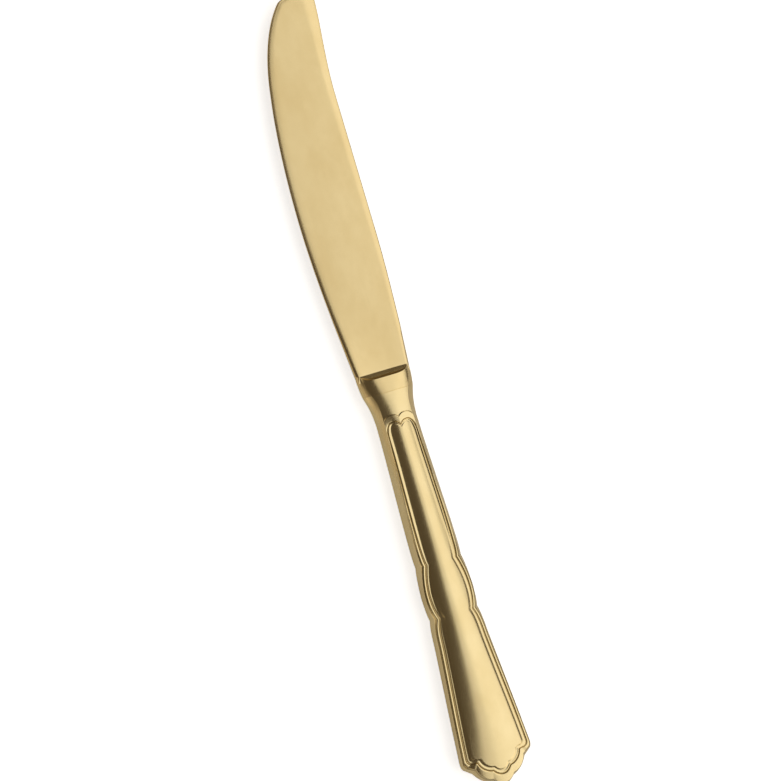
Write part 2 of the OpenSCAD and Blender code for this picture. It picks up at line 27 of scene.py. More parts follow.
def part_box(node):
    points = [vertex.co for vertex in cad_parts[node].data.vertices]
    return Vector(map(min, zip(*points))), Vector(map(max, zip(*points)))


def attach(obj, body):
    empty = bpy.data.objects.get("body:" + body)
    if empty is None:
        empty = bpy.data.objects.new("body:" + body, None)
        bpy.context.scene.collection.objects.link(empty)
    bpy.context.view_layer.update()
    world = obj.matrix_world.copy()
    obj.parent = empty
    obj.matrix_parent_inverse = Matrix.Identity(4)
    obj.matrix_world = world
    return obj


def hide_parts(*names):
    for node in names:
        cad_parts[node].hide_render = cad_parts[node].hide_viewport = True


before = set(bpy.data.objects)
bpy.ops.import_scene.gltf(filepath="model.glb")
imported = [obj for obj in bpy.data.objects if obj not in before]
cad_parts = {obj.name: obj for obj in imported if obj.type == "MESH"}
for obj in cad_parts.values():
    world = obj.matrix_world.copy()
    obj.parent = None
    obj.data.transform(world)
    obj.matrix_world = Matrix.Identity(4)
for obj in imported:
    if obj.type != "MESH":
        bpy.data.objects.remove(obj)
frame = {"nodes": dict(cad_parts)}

LOG = logging.getLogger("table_knife")
MM = 0.001
# Distance in millimetres below which two vertices are one
WELD_MM = 0.0004
# Name of the attribute that holds how much painted shade darkens the border's grooves
PAINTED_SHADE_NAME = "painted_shade"
# A skin inside the shells has its ridge this share of its depth further in
KNEE_SHARE = 0.6
# Depth in millimetres of the eased edges at the handle's mouth, and their run in such depths
MOUTH_EASE = 0.05
EASE_RUN = 1.2

Point = tuple[float, float, float]
Row = list[Point]
Rows = list[Row]
Pairs = tuple[tuple[float, float], ...]


# --- Curves and tables ---


def mix(a: float | Vector, b: float | Vector, t: float) -> float | Vector:
    """Return the value a share t of the way from a to b."""
    return a + (b - a) * t


def shares(count: int) -> list[float]:
    """Return count + 1 even shares from 0 to 1."""
    return [k / count for k in range(count + 1)]


def plan_way(angle: float) -> Vector:
    """Return the unit vector of a plan angle: 0 runs towards the butt and 90 towards +X."""
    return Vector((math.sin(math.radians(angle)), math.cos(math.radians(angle))))


def lifted(plan: Vector, z: float) -> Point:
    """Return the point of the handle's own space over a plan point."""
    return (plan.x, -plan.y, z)


@dataclass(frozen=True)
class ShareTable:
    """Smooth curve through rows of a place and its value."""

    rows: Pairs

    def at(self, place: float) -> float:
        """Work out the curve at one place.

        Args:
            place: Where along the rows; past either end the curve stays as it is there.

        Returns:
            The curve's value.
        """
        last = len(self.rows) - 1
        k = max([0] + [i for i in range(last) if place >= self.rows[i][0]])
        a, b = self.rows[k], self.rows[k + 1]
        before, after = self.rows[max(k - 1, 0)], self.rows[min(k + 2, last)]
        span = b[0] - a[0]
        u = min(max((place - a[0]) / span, 0), 1)
        rise_a = span * (b[1] - before[1]) / (b[0] - before[0])
        rise_b = span * (after[1] - a[1]) / (after[0] - a[0])
        return (
            (2 * u**3 - 3 * u**2 + 1) * a[1]
            + (u**3 - 2 * u**2 + u) * rise_a
            + (3 * u**2 - 2 * u**3) * b[1]
            + (u**3 - u**2) * rise_b
        )


@dataclass(frozen=True)
class Bend:
    """One stretch of a plan curve, between two turning points.

    The angles are plan angles. The reaches are shares of the chord, and steps is the number of
    stretches that the CAD model cuts it into, which the mesh here cuts finer.
    """

    leaving: float
    arriving: float
    leaving_reach: float
    arriving_reach: float
    steps: int

    def points(self, start: Vector, end: Vector, wave: float, fineness: int) -> list[Vector]:
        """Work out the points of the stretch without its last one.

        Args:
            start: Turning point that it leaves.
            end: Turning point at which it arrives.
            wave: How strongly it follows its angles; 0 is its chord.
            fineness: How many points stand for one of its steps.

        Returns:
            Points from the start, at even steps of the curve's own parameter.
        """
        chord = (end - start).length
        way = math.degrees(math.atan2(end.x - start.x, end.y - start.y))
        out = start + chord * self.leaving_reach * plan_way(mix(way, self.leaving, wave))
        back = end - chord * self.arriving_reach * plan_way(mix(way, self.arriving, wave))
        return [
            (1 - t) ** 3 * start
            + 3 * t * (1 - t) ** 2 * out
            + 3 * t**2 * (1 - t) * back
            + t**3 * end
            for t in shares(self.steps * fineness)[:-1]
        ]


def run(
    points: Sequence[Vector], bends: Sequence[Bend], fineness: int, wave: float = 1
) -> list[Vector]:
    """Return a whole plan curve through turning points, with one bend between each pair."""
    parts = [b.points(points[k], points[k + 1], wave, fineness) for k, b in enumerate(bends)]
    return [*(point for part in parts for point in part), points[len(bends)]]


# --- Work on meshes ---


class Axis(Enum):
    """Direction across a mirror, as the modifier's three switches."""

    ACROSS = (True, False, False)
    UP = (False, False, True)


def select_only(*pieces: Object) -> None:
    """Select some pieces alone.

    Args:
        pieces: What is selected; the first of them is the active one.
    """
    bpy.ops.object.select_all(action="DESELECT")
    for piece in pieces:
        piece.select_set(True)
    bpy.context.view_layer.objects.active = pieces[0]


@contextmanager
def editing(piece: Object) -> Iterator[None]:
    """Hold one piece alone in edit mode, with all of it selected.

    Args:
        piece: The piece, which is back in object mode afterwards.

    Yields:
        Nothing, while the piece is in edit mode.
    """
    select_only(piece)
    bpy.ops.object.mode_set(mode="EDIT")
    bpy.ops.mesh.select_all(action="SELECT")
    yield
    bpy.ops.object.mode_set(mode="OBJECT")


def add_sheet(rows: Rows) -> Object:
    """Add a grid and lay its vertices on a surface.

    Args:
        rows: Points in millimetres, all rows of one length.

    Returns:
        The grid's object.
    """
    bpy.ops.object.select_all(action="DESELECT")
    bpy.ops.mesh.primitive_grid_add(
        x_subdivisions=len(rows[0]) - 1, y_subdivisions=len(rows) - 1, size=MM
    )
    sheet = bpy.context.object
    sheet.data.vertices.foreach_set("co", np.asarray(rows, dtype=np.float32).ravel() * MM)
    sheet.data.update()
    return sheet


def add_tube(rings: Rows) -> Object:
    """Add a closed tube through rings of points, with a lid on both ends.

    Args:
        rings: Rings in millimetres, all of one length and each without its first point again.

    Returns:
        The tube's object.
    """
    tube = add_sheet([[*ring, ring[0]] for ring in rings])
    with editing(tube):
        bpy.ops.mesh.remove_doubles(threshold=WELD_MM * MM)
        bpy.ops.mesh.select_all(action="DESELECT")
        bpy.ops.mesh.select_non_manifold(
            extend=False, use_wire=False, use_multi_face=False, use_verts=False
        )
        bpy.ops.mesh.fill_holes(sides=0)
    weld(tube)
    return tube


def weld(piece: Object) -> None:
    """Merge the vertices that lie on each other and turn all faces outwards.

    Args:
        piece: Piece to mend.
    """
    with editing(piece):
        bpy.ops.mesh.remove_doubles(threshold=WELD_MM * MM)
        bpy.ops.mesh.normals_make_consistent(inside=False)


def join(name: str, sheets: Sequence[Object]) -> Object:
    """Join sheets into one piece and weld the edges that they share.

    Args:
        name: Name of the piece.
        sheets: What it is made of.

    Returns:
        The piece.
    """
    select_only(*sheets)
    bpy.ops.object.join()
    piece = bpy.context.object
    piece.name = piece.data.name = name
    weld(piece)
    return piece


def crease(piece: Object, points: Sequence[Point]) -> None:
    """Mark edges as sharp.

    Args:
        piece: Piece in the handle's own space.
        points: Points in millimetres; each edge between two of them is marked.
    """
    tree = KDTree(len(points))
    for k, point in enumerate(points):
        tree.insert(Vector(point) * MM, k)
    tree.balance()
    on = [tree.find(vertex.co)[2] < WELD_MM * MM for vertex in piece.data.vertices]
    for edge in piece.data.edges:
        if on[edge.vertices[0]] and on[edge.vertices[1]]:
            edge.use_edge_sharp = True


def apply_modifier(piece: Object, kind: str, **settings: object) -> None:
    """Add one modifier to a piece and apply it.

    Args:
        piece: Piece that gets it.
        kind: Blender's name for the modifier.
        settings: The modifier's own settings.
    """
    select_only(piece)
    modifier = piece.modifiers.new(kind.title(), kind)
    for name, value in settings.items():
        setattr(modifier, name, value)
    bpy.ops.object.modifier_apply(modifier=modifier.name)


def mirror(piece: Object, axis: Axis) -> None:
    """Complete a piece that stops at a middle plane with its other half."""
    apply_modifier(piece, "MIRROR", use_axis=axis.value, merge_threshold=WELD_MM * MM)
    weld(piece)


def fuse(piece: Object, others: Sequence[Object]) -> None:
    """Fuse other closed pieces into one.

    Args:
        piece: The piece that stays.
        others: The pieces that go into it.
    """
    for other in others:
        apply_modifier(piece, "BOOLEAN", operation="UNION", solver="EXACT", object=other)
        bpy.data.objects.remove(other)
    weld(piece)


def place(piece: Object, origin: Vector, smooth_below: float) -> None:
    """Move a finished mesh from the handle's own space to the frame and smooth its shading.

    Args:
        piece: Mesh worked out in the handle's own space.
        origin: Place of the middle of the mouth in the frame.
        smooth_below: Angle in degrees up to which an edge is smoothed.
    """
    select_only(piece)
    bpy.ops.transform.translate(value=origin)
    bpy.ops.object.transform_apply(location=True, rotation=True, scale=True)
    bpy.ops.object.shade_smooth_by_angle(angle=math.radians(smooth_below))


# --- Forms ---


@dataclass(frozen=True)
class HandleForm:
    """Plan and heights of handle, neck and bolster, shared by the forging and the shells.

    Sizes are in millimetres. Shares belong to the size that their comment names.
    """

    length: float = 117.4
    butt_width: float = 22.2
    butt_drop: float = 8.5
    waist_width: float = 12.3
    mouth_width: float = 15.5
    neck_length: float = 8.4
    side_width: float = 2.1
    belly_half: float = 4.2
    rim_width: float = 1.5
    band_width: float = 1.9
    lip_width: float = 0.72
    bolster_length: float = 6.3
    shoulder_width: float = 16.6
    fineness: int = 6
    # Side of the neck: share of its length, share of the way from waist to mouth
    neck_side: ShareTable = ShareTable(
        ((0, 1), (0.18, 0.72), (0.36, 0.475), (0.55, 0.29), (0.76, 0.16), (1, 0.075))
    )
    # Inset of the neck's ridge, as a share of side_width
    neck_ridge: ShareTable = ShareTable(((0, 1), (0.14, 1.06), (0.29, 1.08), (0.6, 1), (1, 0.86)))
    # Heights over bolster and neck, as shares of belly_half; -1 is the shoulder and 1 the border
    ridge_height: ShareTable = ShareTable(
        ((-1, 0.24), (-0.6, 0.4), (0, 0.548), (0.29, 0.607), (1, 0.62))
    )
    neck_crown: ShareTable = ShareTable(
        ((-1, 0.65), (-0.7, 0.7), (0, 0.775), (0.5, 0.805), (1, 0.835))
    )
    # Power of the neck's section: high is flat on top and turns down late
    neck_power: ShareTable = ShareTable(((-1, 5), (-0.5, 4), (0, 2.8), (0.4, 2.2), (1, 2)))
    # Heights along the handle, as shares of length and of belly_half
    rim_height: ShareTable = ShareTable(
        ((0.07, 0.62), (0.4, 0.62), (0.5, 0.51), (0.57, 0.476), (0.8, 0.452), (0.92, 0.4),
         (1, 0.52))
    )
    crown_height: ShareTable = ShareTable(
        ((0.07, 0.835), (0.14, 0.877), (0.22, 0.918), (0.3, 0.951), (0.4, 0.982), (0.5, 1),
         (0.6, 1), (0.75, 0.975), (0.85, 0.93), (0.92, 0.85), (0.945, 0.785), (0.965, 0.71),
         (1, 0.56))
    )
    # Fall of the domed field from crown to nominal width, as a share of belly_half
    dome_fall: ShareTable = ShareTable(
        ((0.1, 0.2), (0.25, 0.236), (0.4, 0.262), (0.57, 0.286), (0.8, 0.262), (0.92, 0.226),
         (1, 0.2))
    )
    # That nominal width, as a share of butt_width
    dome_width: ShareTable = ShareTable(
        ((0.1, 0.285), (0.25, 0.325), (0.39, 0.37), (0.5, 0.44), (0.6, 0.48), (0.8, 0.63),
         (0.92, 0.75), (1, 0.78))
    )
    # Turning points of the border. The first ones are shares of half the waist, behind the neck.
    top_groove: Pairs = ((0, 0.182), (0.341, 0.003), (0.772, 0.78))
    top_rim: Pairs = ((0, -0.171), (0.341, -0.318))
    # On the flanks: share of length, share of the way from waist to butt
    flanks: Pairs = ((0.4306, 0.19), (0.509, 0.364), (0.5639, 0.257), (0.643, 0.465))
    # Round the butt: share of half its width, and share of butt_drop in front of its end
    butt: Pairs = ((0.995, 1.12), (0.95, 0.906), (0.748, 0.706), (0.306, 0.2), (0, 0))
    # Steps in from the side to the groove, in shares of rim_width
    rim_steps: Pairs = (
        (1.38, 0), (0.96, 0), (1.25, 0), (1, 0),
        (0.85, 0.6), (1, 0.8), (1.1, 1.75), (0.35, 2.35), (0, 2.3),
    )
    # Steps out from the groove to the lip, in shares of lip_width
    lip_steps: Pairs = (
        (1, 0), (1, 0), (1, 0), (1, 0),
        (1, 0.55), (0.92, 1.08), (1.23, 2.5), (0.55, 3.5), (0, 3.7),
    )
    # Steps in from the groove to the field, in shares of band_width
    band_steps: Pairs = (
        (0, -0.636), (0.12, -0.636), (0.97, -0.12), (1.02, 0), (0.94, 0.1), (1.01, 0), (1.03, 0),
        (1.05, 0.45), (0.95, 0.75), (0.65, 0.65), (0.45, 0.8), (0, 1),
    )
    # Bends between the border's turning points, and how many lie on its top and on its flank
    bends: tuple[Bend, ...] = (
        Bend(142, 90, 0.45, 0.3, 4),
        Bend(90, 0, 0.3, 0.5, 6),
        Bend(0, -20, 0.33, 0.08, 10),
        Bend(18, 0, 0.3, 0.35, 5),
        Bend(0, -20, 0.4, 0.3, 4),
        Bend(25, 5, 0.3, 0.35, 4),
        Bend(5, 4, 0.33, 0.33, 7),
        Bend(4, -50, 0.4, 0.4, 2),
        Bend(-60, -62, 0.33, 0.33, 2),
        Bend(-12, -85, 0.35, 0.35, 5),
        Bend(-42, -90, 0.3, 0.45, 4),
    )
    top_bends: int = 2
    flank_bends: int = 5
    # How strongly the side of the handle follows the border's scallops
    side_wave: float = 0.55
    # How far in and up the side wall's bulge pulls it, as shares of the wall
    wall_bulge: tuple[float, float] = (0.22, 0.42)
    wall_columns: int = 9

    def row_after(self, bends: int) -> int:
        """Return the row at which a number of the border's bends end."""
        return self.fineness * sum(bend.steps for bend in self.bends[:bends])

    @property
    def flank_row(self) -> int:
        """Row at which the border meets the side of the handle."""
        return self.row_after(self.top_bends)

    @property
    def butt_row(self) -> int:
        """Row at which the scalloped end begins."""
        return self.row_after(self.top_bends + self.flank_bends)

    @property
    def last_row(self) -> int:
        """Row at the middle of the butt."""
        return self.row_after(len(self.bends))

    def neck_place(self, s: float) -> float:
        """Return the place s as a share of bolster or neck."""
        return s / self.bolster_length if s < 0 else s / self.neck_length

    def side_x(self, s: float) -> float:
        """Work out half the width of bolster or neck.

        Args:
            s: Place behind the mouth, negative on the bolster.

        Returns:
            Distance from the middle to the side, at the seam.
        """
        mouth, share = self.mouth_width / 2, self.neck_place(s)
        if s < 0:
            return mix(mouth, self.shoulder_width / 2, 1 - (1 + share) ** 2)
        return mix(self.waist_width / 2, mouth, self.neck_side.at(share))

    def ridge_x(self, s: float, chamfer: float = 0) -> float:
        """Work out where the ridge of bolster or neck lies.

        Args:
            s: Place behind the mouth, negative on the bolster.
            chamfer: Its inset from the side at the shoulder.

        Returns:
            Distance from the middle to the ridge.
        """
        share = self.neck_place(s)
        if s < 0:
            return self.side_x(s) - mix(self.side_width, chamfer, -share)
        return self.side_x(s) - self.side_width * self.neck_ridge.at(share)

    def ridge_z(self, s: float) -> float:
        """Return the height of the ridge of bolster or neck."""
        return self.belly_half * self.ridge_height.at(self.neck_place(s))

    def neck_z(self, out: float, s: float) -> float:
        """Work out the height of the top of bolster or neck.

        Args:
            out: Share of the way from the middle to the ridge.
            s: Place behind the mouth, negative on the bolster.

        Returns:
            Height over the plane between the shells.
        """
        share = self.neck_place(s)
        crown = self.belly_half * self.neck_crown.at(share)
        return mix(self.ridge_z(s), crown, 1 - abs(out) ** self.neck_power.at(share))

    def dome_z(self, plan: Vector) -> float:
        """Work out the height of the domed field.

        Args:
            plan: Plan point on the field.

        Returns:
            Height over the plane between the shells.
        """
        share = plan.y / self.length
        width = self.butt_width / 2 * self.dome_width.at(share)
        fall = self.belly_half * self.dome_fall.at(share)
        return self.belly_half * self.crown_height.at(share) - fall * (plan.x / width) ** 2

    def wall(self, foot: Point, top: Point) -> Row:
        """Work out the side wall's bulging section.

        Args:
            foot: Its point on the seam.
            top: Its point on the ridge or the rim.

        Returns:
            Points from foot to top.
        """
        low, high = Vector(foot), Vector(top)
        inward, upward = self.wall_bulge
        pull = Vector([mix(a, b, t) for a, b, t in zip(low, high, (inward, inward, upward))])
        return [
            tuple((1 - t) ** 2 * low + 2 * t * (1 - t) * pull + t**2 * high)
            for t in shares(self.wall_columns)
        ]


@dataclass
class HandleLines:
    """The four lines of the handle's plan, row for row, worked out from its form."""

    form: HandleForm
    # The side starts at the row at which the border meets it
    side: list[Vector] = field(init=False)
    rim: list[Vector] = field(init=False)
    groove: list[Vector] = field(init=False)
    inner: list[Vector] = field(init=False)

    def __post_init__(self) -> None:
        """Work out the turning points of each line and run a curve through them."""
        form = self.form
        waist, butt, neck = form.waist_width / 2, form.butt_width / 2, form.neck_length
        tops, rims = (
            [Vector((waist * x, neck + waist * s)) for x, s in rows]
            for rows in (form.top_groove, form.top_rim)
        )
        sides = [Vector((mix(waist, butt, x), form.length * s)) for s, x in form.flanks]
        sides += [Vector((butt * x, form.length - form.butt_drop * s)) for x, s in form.butt]
        flanks = [p - form.rim_width * Vector(step) for p, step in zip(sides, form.rim_steps)]
        grooves = tops + flanks
        rims.append(Vector((form.ridge_x(neck), neck)))
        rims += [p + form.lip_width * Vector(step) for p, step in zip(flanks, form.lip_steps)]
        inners = [p - form.band_width * Vector(step) for p, step in zip(grooves, form.band_steps)]
        sides.insert(0, Vector((form.side_x(neck), neck)))

        self.groove = run(grooves, form.bends, form.fineness)
        self.rim = run(rims, form.bends, form.fineness)
        self.inner = run(inners, form.bends, form.fineness)
        self.side = run(sides, form.bends[form.top_bends :], form.fineness, form.side_wave)

    def middle(self, row: int) -> Vector:
        """Work out where a row of the dome meets the middle.

        Args:
            row: Row of the border.

        Returns:
            Plan point on the middle. At the top and round the butt such points are spread evenly.
        """
        inner, flank, butt = self.inner, self.form.flank_row, self.form.butt_row
        if row < flank:
            s = mix(inner[0].y, inner[flank].y, row / flank)
        elif row > butt:
            s = mix(inner[butt].y, inner[-1].y, (row - butt) / (self.form.last_row - butt))
        else:
            s = inner[row].y
        return Vector((0, s))

    def neck_share(self, row: int) -> float:
        """Return how far out on the neck's top a row of the border's top lies."""
        return self.rim[row].x / self.form.ridge_x(self.rim[row].y)

    def rim_z(self, row: int) -> float:
        """Work out the height of the rim.

        Args:
            row: Row of the border.

        Returns:
            Height over the plane between the shells.
        """
        form, s = self.form, self.rim[row].y
        if row > form.flank_row:
            return form.belly_half * form.rim_height.at(s / form.length)
        return form.neck_z(self.neck_share(row), s)


@dataclass(frozen=True)
class BorderSection:
    """Section of the thread-and-bead border, in millimetres.

    The bead rises from the rim, a sharp groove parts it from the thread, and a soft one parts the
    thread from the field. A way in runs from 0 at the rim over 1 at the groove line to 2 at the
    field.
    """

    # Height of the bead, the distance in which it rises, and the most of a lip that this takes
    rise: float = 0.14
    rise_run: float = 0.42
    most_rise: float = 0.55
    # The bead's rise: share of its run, share of its height
    bead: Pairs = ((0, 0), (0.12, 0.03), (0.9, 0.94), (1.2, 1))
    # Height of the surface at the groove line
    crest: float = 0.04
    # From this width of the lip on, the rise takes part of the climb to the field, in so many runs
    wide_from: float = 0.9
    wide_lift: float = 0.4
    wide_run: float = 1.1
    rise_columns: int = 9
    lip_columns: int = 5
    band_columns: int = 40
    # Height against the way in, from the groove to the field
    band: Pairs = (
        (1.04, 0), (1.12, -0.12), (1.16, -0.16), (1.2, -0.12), (1.3, 0.02), (1.36, 0.045),
        (1.42, 0.03), (1.58, -0.07), (1.72, -0.1), (1.86, -0.06), (2, 0),
    )
    # Painted shade in the grooves, against the way in across a narrow lip and the band
    painted_darkness: ShareTable = ShareTable(
        ((0, 0.2), (0.12, 0.65), (0.4, 0.3), (0.6, 0), (1.04, 0), (1.12, 0.6), (1.2, 0.6),
         (1.28, 0), (1.6, 0), (1.72, 0.12), (1.86, 0.12), (2, 0))
    )

    def rise_share(self, lip: float) -> float:
        """Return the share of a lip's width over which the bead rises."""
        return min(self.rise_run / lip, self.most_rise)

    def profile(self, lip: float) -> ShareTable:
        """Return the section's height against the way in, for one width of the lip."""
        rise = ((u * self.rise_share(lip), z * self.rise) for u, z in self.bead)
        return ShareTable((*rise, (1, self.crest), *self.band))

    def painted_darkness_at(self, t: float, lip: float) -> float:
        """Return the painted shade at a way in; across a wide lip only the bead's rise gets it."""
        narrow = min(self.most_rise * t / self.rise_share(lip), 1)
        return self.painted_darkness.at(narrow if t < 1 else t)

    def climbed(self, t: float, lip: float, way: float) -> float:
        """Work out how much of the climb from rim to field is done.

        Args:
            t: The way in.
            lip: Distance from the rim to the groove line.
            way: The same way as a share of the plan's distance.

        Returns:
            The plan's share itself, but across a wide lip the bead's rise takes part of the climb.
        """
        lift = self.wide_lift * min(max(lip / self.wide_from - 1, 0), 1)
        u = min(t / (self.wide_run * self.rise_share(lip)), 1)
        return mix(way, u * u * (3 - 2 * u), lift)

    def places(self, lip: float) -> list[float]:
        """Work out the ways in at which the columns lie.

        Args:
            lip: Distance from the rim to the groove line.

        Returns:
            Ways in from 0 to 2, close together where the bead rises.
        """
        top = self.bead[-1][0] * self.rise_share(lip)
        rise = [mix(0, top, t) for t in shares(self.rise_columns)[:-1]]
        lips = [mix(top, 1, t) for t in shares(self.lip_columns)[:-1]]
        return [*rise, *lips, *(1 + t for t in shares(self.band_columns))]


@dataclass(frozen=True)
class BladeForm:
    """Plan and section of the blade and what carries it inside the handle, in millimetres."""

    length: float = 111.3
    width: float = 21.2
    heel_thick: float = 2.2
    tip_thick: float = 1.3
    edge_thick: float = 1.2
    # Width of the ground edge itself, and how far its bevel reaches in and how round it is
    land: float = 0.16
    bevel: float = 0.6
    bevel_roundness: float = 0.6
    spine_ease: float = 0.6
    spine_roundness: float = 1
    # The heel's corner on the edge's side is left thick and chamfered
    heel_chamfer: float = 1.2
    heel_edge_thick: float = 2.1
    heel_roundness: float = 0.9
    back_chamfer: float = 0.75
    # Swell of the flat there: height, reach along the blade, start and reach in half widths
    heel_swell: float = 0.4
    swell_reach: float = 26
    swell_from: float = 0.4
    swell_across: float = 1.2
    cove_length: float = 1.9
    # Half widths from the middle to the spine and to the heel's ends
    spine_share: float = 0.953
    heel_end_share: float = 0.788
    # How far the plate runs on into the bolster, a third of the CAD's, and one solid into another
    root_length: float = 5.6 / 3
    overrun: float = 0.5
    shell_wall: float = 0.9
    fit_gap: float = 0.12
    spigot_length: float = 4
    tang_length: float = 58
    tang_width: float = 5.2
    tang_thick: float = 2.6
    notch_depth: float = 0.8
    notch_count: int = 4
    fineness: int = 6
    # Share of half the width, share of the length, and the bend to the next point
    outline: tuple[tuple[float, float, Bend], ...] = (
        (-0.783, 0, Bend(-5.6, -5.2, 0.33, 0.33, 3)),
        (-0.878, 0.099, Bend(-5.2, 0, 0.3, 0.33, 6)),
        (-1.055, 0.414, Bend(0, 9.5, 0.37, 0.27, 6)),
        (-0.808, 0.752, Bend(7.7, 42, 0.42, 0.25, 10)),
        (0.12, 0.984, Bend(48, 88, 0.2, 0.4, 3)),
        (0.981, 1, Bend(90, 182, 0.38, 0.45, 5)),
        (1.145, 0.968, Bend(182, 180, 0.27, 0.39, 6)),
        (0.953, 0.718, Bend(180, 180, 0.33, 0.33, 1)),
        (0.953, 0.352, Bend(180, 183, 0.33, 0.33, 4)),
        (0.862, 0.099, Bend(183.5, 184, 0.33, 0.33, 2)),
    )
    # Number of those points at which the cutting edge and the spine are ground
    edge_points: int = 4
    spine_points: int = 5
    # Width of the spine's soft fall, as a share of width, against the share of the length
    fall_width: ShareTable = ShareTable(
        ((0, 0.03), (0.35, 0.055), (0.7, 0.08), (0.85, 0.11), (0.95, 0.15), (1, 0.15))
    )
    edge_fall_width: float = 1
    fall_slope: float = 0.1

    @property
    def wall_rise(self) -> float:
        """How far the wall would rise from the land, drawn on to above the flat."""
        return self.heel_thick / 2 + self.overrun - self.land / 2

    def drawn(self, width: float, thick: float) -> float:
        """Return how far a wall draws in over its whole rise, from its width at one thickness."""
        return width * self.wall_rise / ((thick - self.land) / 2)

    def flat_z(self, x: float, y: float) -> float:
        """Work out the height of the blade's flat, a plane but for the swell at the heel.

        Args:
            x: Place across the knife.
            y: Place from the shoulder towards the point.

        Returns:
            Height over the middle plane.
        """
        half = self.width / 2
        fall = (self.heel_thick - self.tip_thick) / 2 / self.length
        wedge = (self.heel_thick - self.edge_thick) / 2 / self.width
        near = max(1 - max(y, 0) / self.swell_reach, 0) ** 2
        out = max(self.swell_from * half - x, 0) / (self.swell_across * half)
        plane = self.heel_thick / 2 - fall * y - wedge * (half * self.spine_share - x)
        return plane + self.heel_swell * near * out**2


@dataclass(frozen=True)
class Skin:
    """Right half of a shell's skin: the outer one at depth 0, or a plain one below it."""

    lines: HandleLines
    # How far it lies below the surface, and how far its edge at the mouth is eased
    depth: float
    ease: float
    neck_steps: int = 24
    field_columns: int = 14
    plain_places: tuple[float, ...] = (0, 0.4, 1)

    @property
    def knee(self) -> float:
        """How far this skin lies in from the ridge."""
        return KNEE_SHARE * self.depth

    def stations(self) -> list[float]:
        """Return the shares of the neck's length at which its rows lie, without the last one."""
        eased = EASE_RUN * self.ease / self.lines.form.neck_length
        return [0, eased, *shares(self.neck_steps)[1:-1]]

    def sunk(self, share: float) -> float:
        """Return how deep the skin lies at a share of the neck, with the mouth's edge eased."""
        return self.depth + (self.ease if share == 0 else 0)

    def rim(self, row: int) -> Point:
        """Work out this skin's point that belongs to a point of the rim.

        Args:
            row: Row of the border.

        Returns:
            The point.
        """
        lines, rim = self.lines, self.lines.rim[row]
        height = lines.rim_z(row) - self.depth
        if row > lines.form.flank_row:
            return lifted(rim + self.knee * (lines.inner[row] - rim).normalized(), height)
        return (lines.neck_share(row) * (lines.form.ridge_x(rim.y) - self.knee), -rim.y, height)

    def wall_rows(self) -> Rows:
        """Work out the side wall.

        Returns:
            Rows from the mouth to the middle of the butt, each from the seam upwards.
        """
        form, lines = self.lines.form, self.lines
        rows = []
        for share in self.stations():
            s, sunk = form.neck_length * share, self.sunk(share)
            top = (form.ridge_x(s) - self.knee, -s, form.ridge_z(s) - sunk)
            rows.append(form.wall((form.side_x(s) - sunk, -s, 0), top))
        for row in range(form.flank_row, form.last_row + 1):
            side = lines.side[row - form.flank_row]
            foot = side + self.depth * (lines.rim[row] - side).normalized()
            rows.append(form.wall(lifted(foot, 0), self.rim(row)))
        return rows

    def neck_rows(self) -> Rows:
        """Work out the top of the neck.

        Returns:
            Rows from the mouth to the rim, each from the ridge to the middle.
        """
        form, lines = self.lines.form, self.lines
        columns = range(form.flank_row, -1, -1)
        rows = []
        for share in self.stations():
            row = []
            for i in columns:
                s, out = lines.rim[i].y * share, lines.neck_share(i)
                height = form.neck_z(out, s) - self.sunk(share)
                row.append((out * (form.ridge_x(s) - self.knee), -s, height))
            rows.append(row)
        return [*rows, [self.rim(row) for row in columns]]

    def dome_row(self, row: int, places: Sequence[float]) -> Row:
        """Return points of the domed field between its edge and the middle."""
        plans = [mix(self.lines.inner[row], self.lines.middle(row), t) for t in places]
        return [lifted(plan, self.lines.form.dome_z(plan) - self.depth) for plan in plans]

    def plain_rows(self) -> Rows:
        """Return border and field as a plain sheet."""
        rows = range(self.lines.form.last_row + 1)
        return [[self.rim(row), *self.dome_row(row, self.plain_places)] for row in rows]

    def bordered_rows(self, border: BorderSection) -> tuple[Rows, list[list[float]]]:
        """Work out the stamped border and the domed field that it frames.

        Args:
            border: Section of the border.

        Returns:
            Rows from the cusp at the border's top to the butt, and how much painted shade darkens
            each point.
        """
        lines, rows, painted_darkness = self.lines, [], []
        for i in range(lines.form.last_row + 1):
            rim, groove, inner = lines.rim[i], lines.groove[i], lines.inner[i]
            low, high = lines.rim_z(i), lines.form.dome_z(inner)
            lip, band = (rim - groove).length, (groove - inner).length
            places, profile, row = border.places(lip), border.profile(lip), []
            for t in places:
                plan = mix(rim, groove, t) if t < 1 else mix(groove, inner, t - 1)
                way = (lip * min(t, 1) + band * max(t - 1, 0)) / (lip + band)
                height = mix(low, high, border.climbed(t, lip, way)) + profile.at(t)
                row.append(lifted(plan, height))
            rows.append(row + self.dome_row(i, shares(self.field_columns)[1:]))
            painted_darkness.append([border.painted_darkness_at(t, lip) for t in places] + [0] * self.field_columns)
        return rows, painted_darkness


# --- Finishes ---

WHITE = "#FFFFFF"
# Sockets of a Mix node for colours: how much of the second one it takes, both colours, the result
SHARE, FIRST, SECOND, MIXED = 0, 6, 7, 2
# Band within which nearly all of a noise pattern's values lie
NOISE_BAND = {"From Min": 0.3, "From Max": 0.7}
NOISE_ROUGHNESS = 0.6


def linear(colour: str) -> tuple[float, float, float, float]:
    """Return an sRGB hex colour as linear light with an alpha of 1."""
    parts = [int(colour[k : k + 2], 16) / 255 for k in (1, 3, 5)]
    return (*(c / 12.92 if c <= 0.04045 else ((c + 0.055) / 1.055) ** 2.4 for c in parts), 1.0)


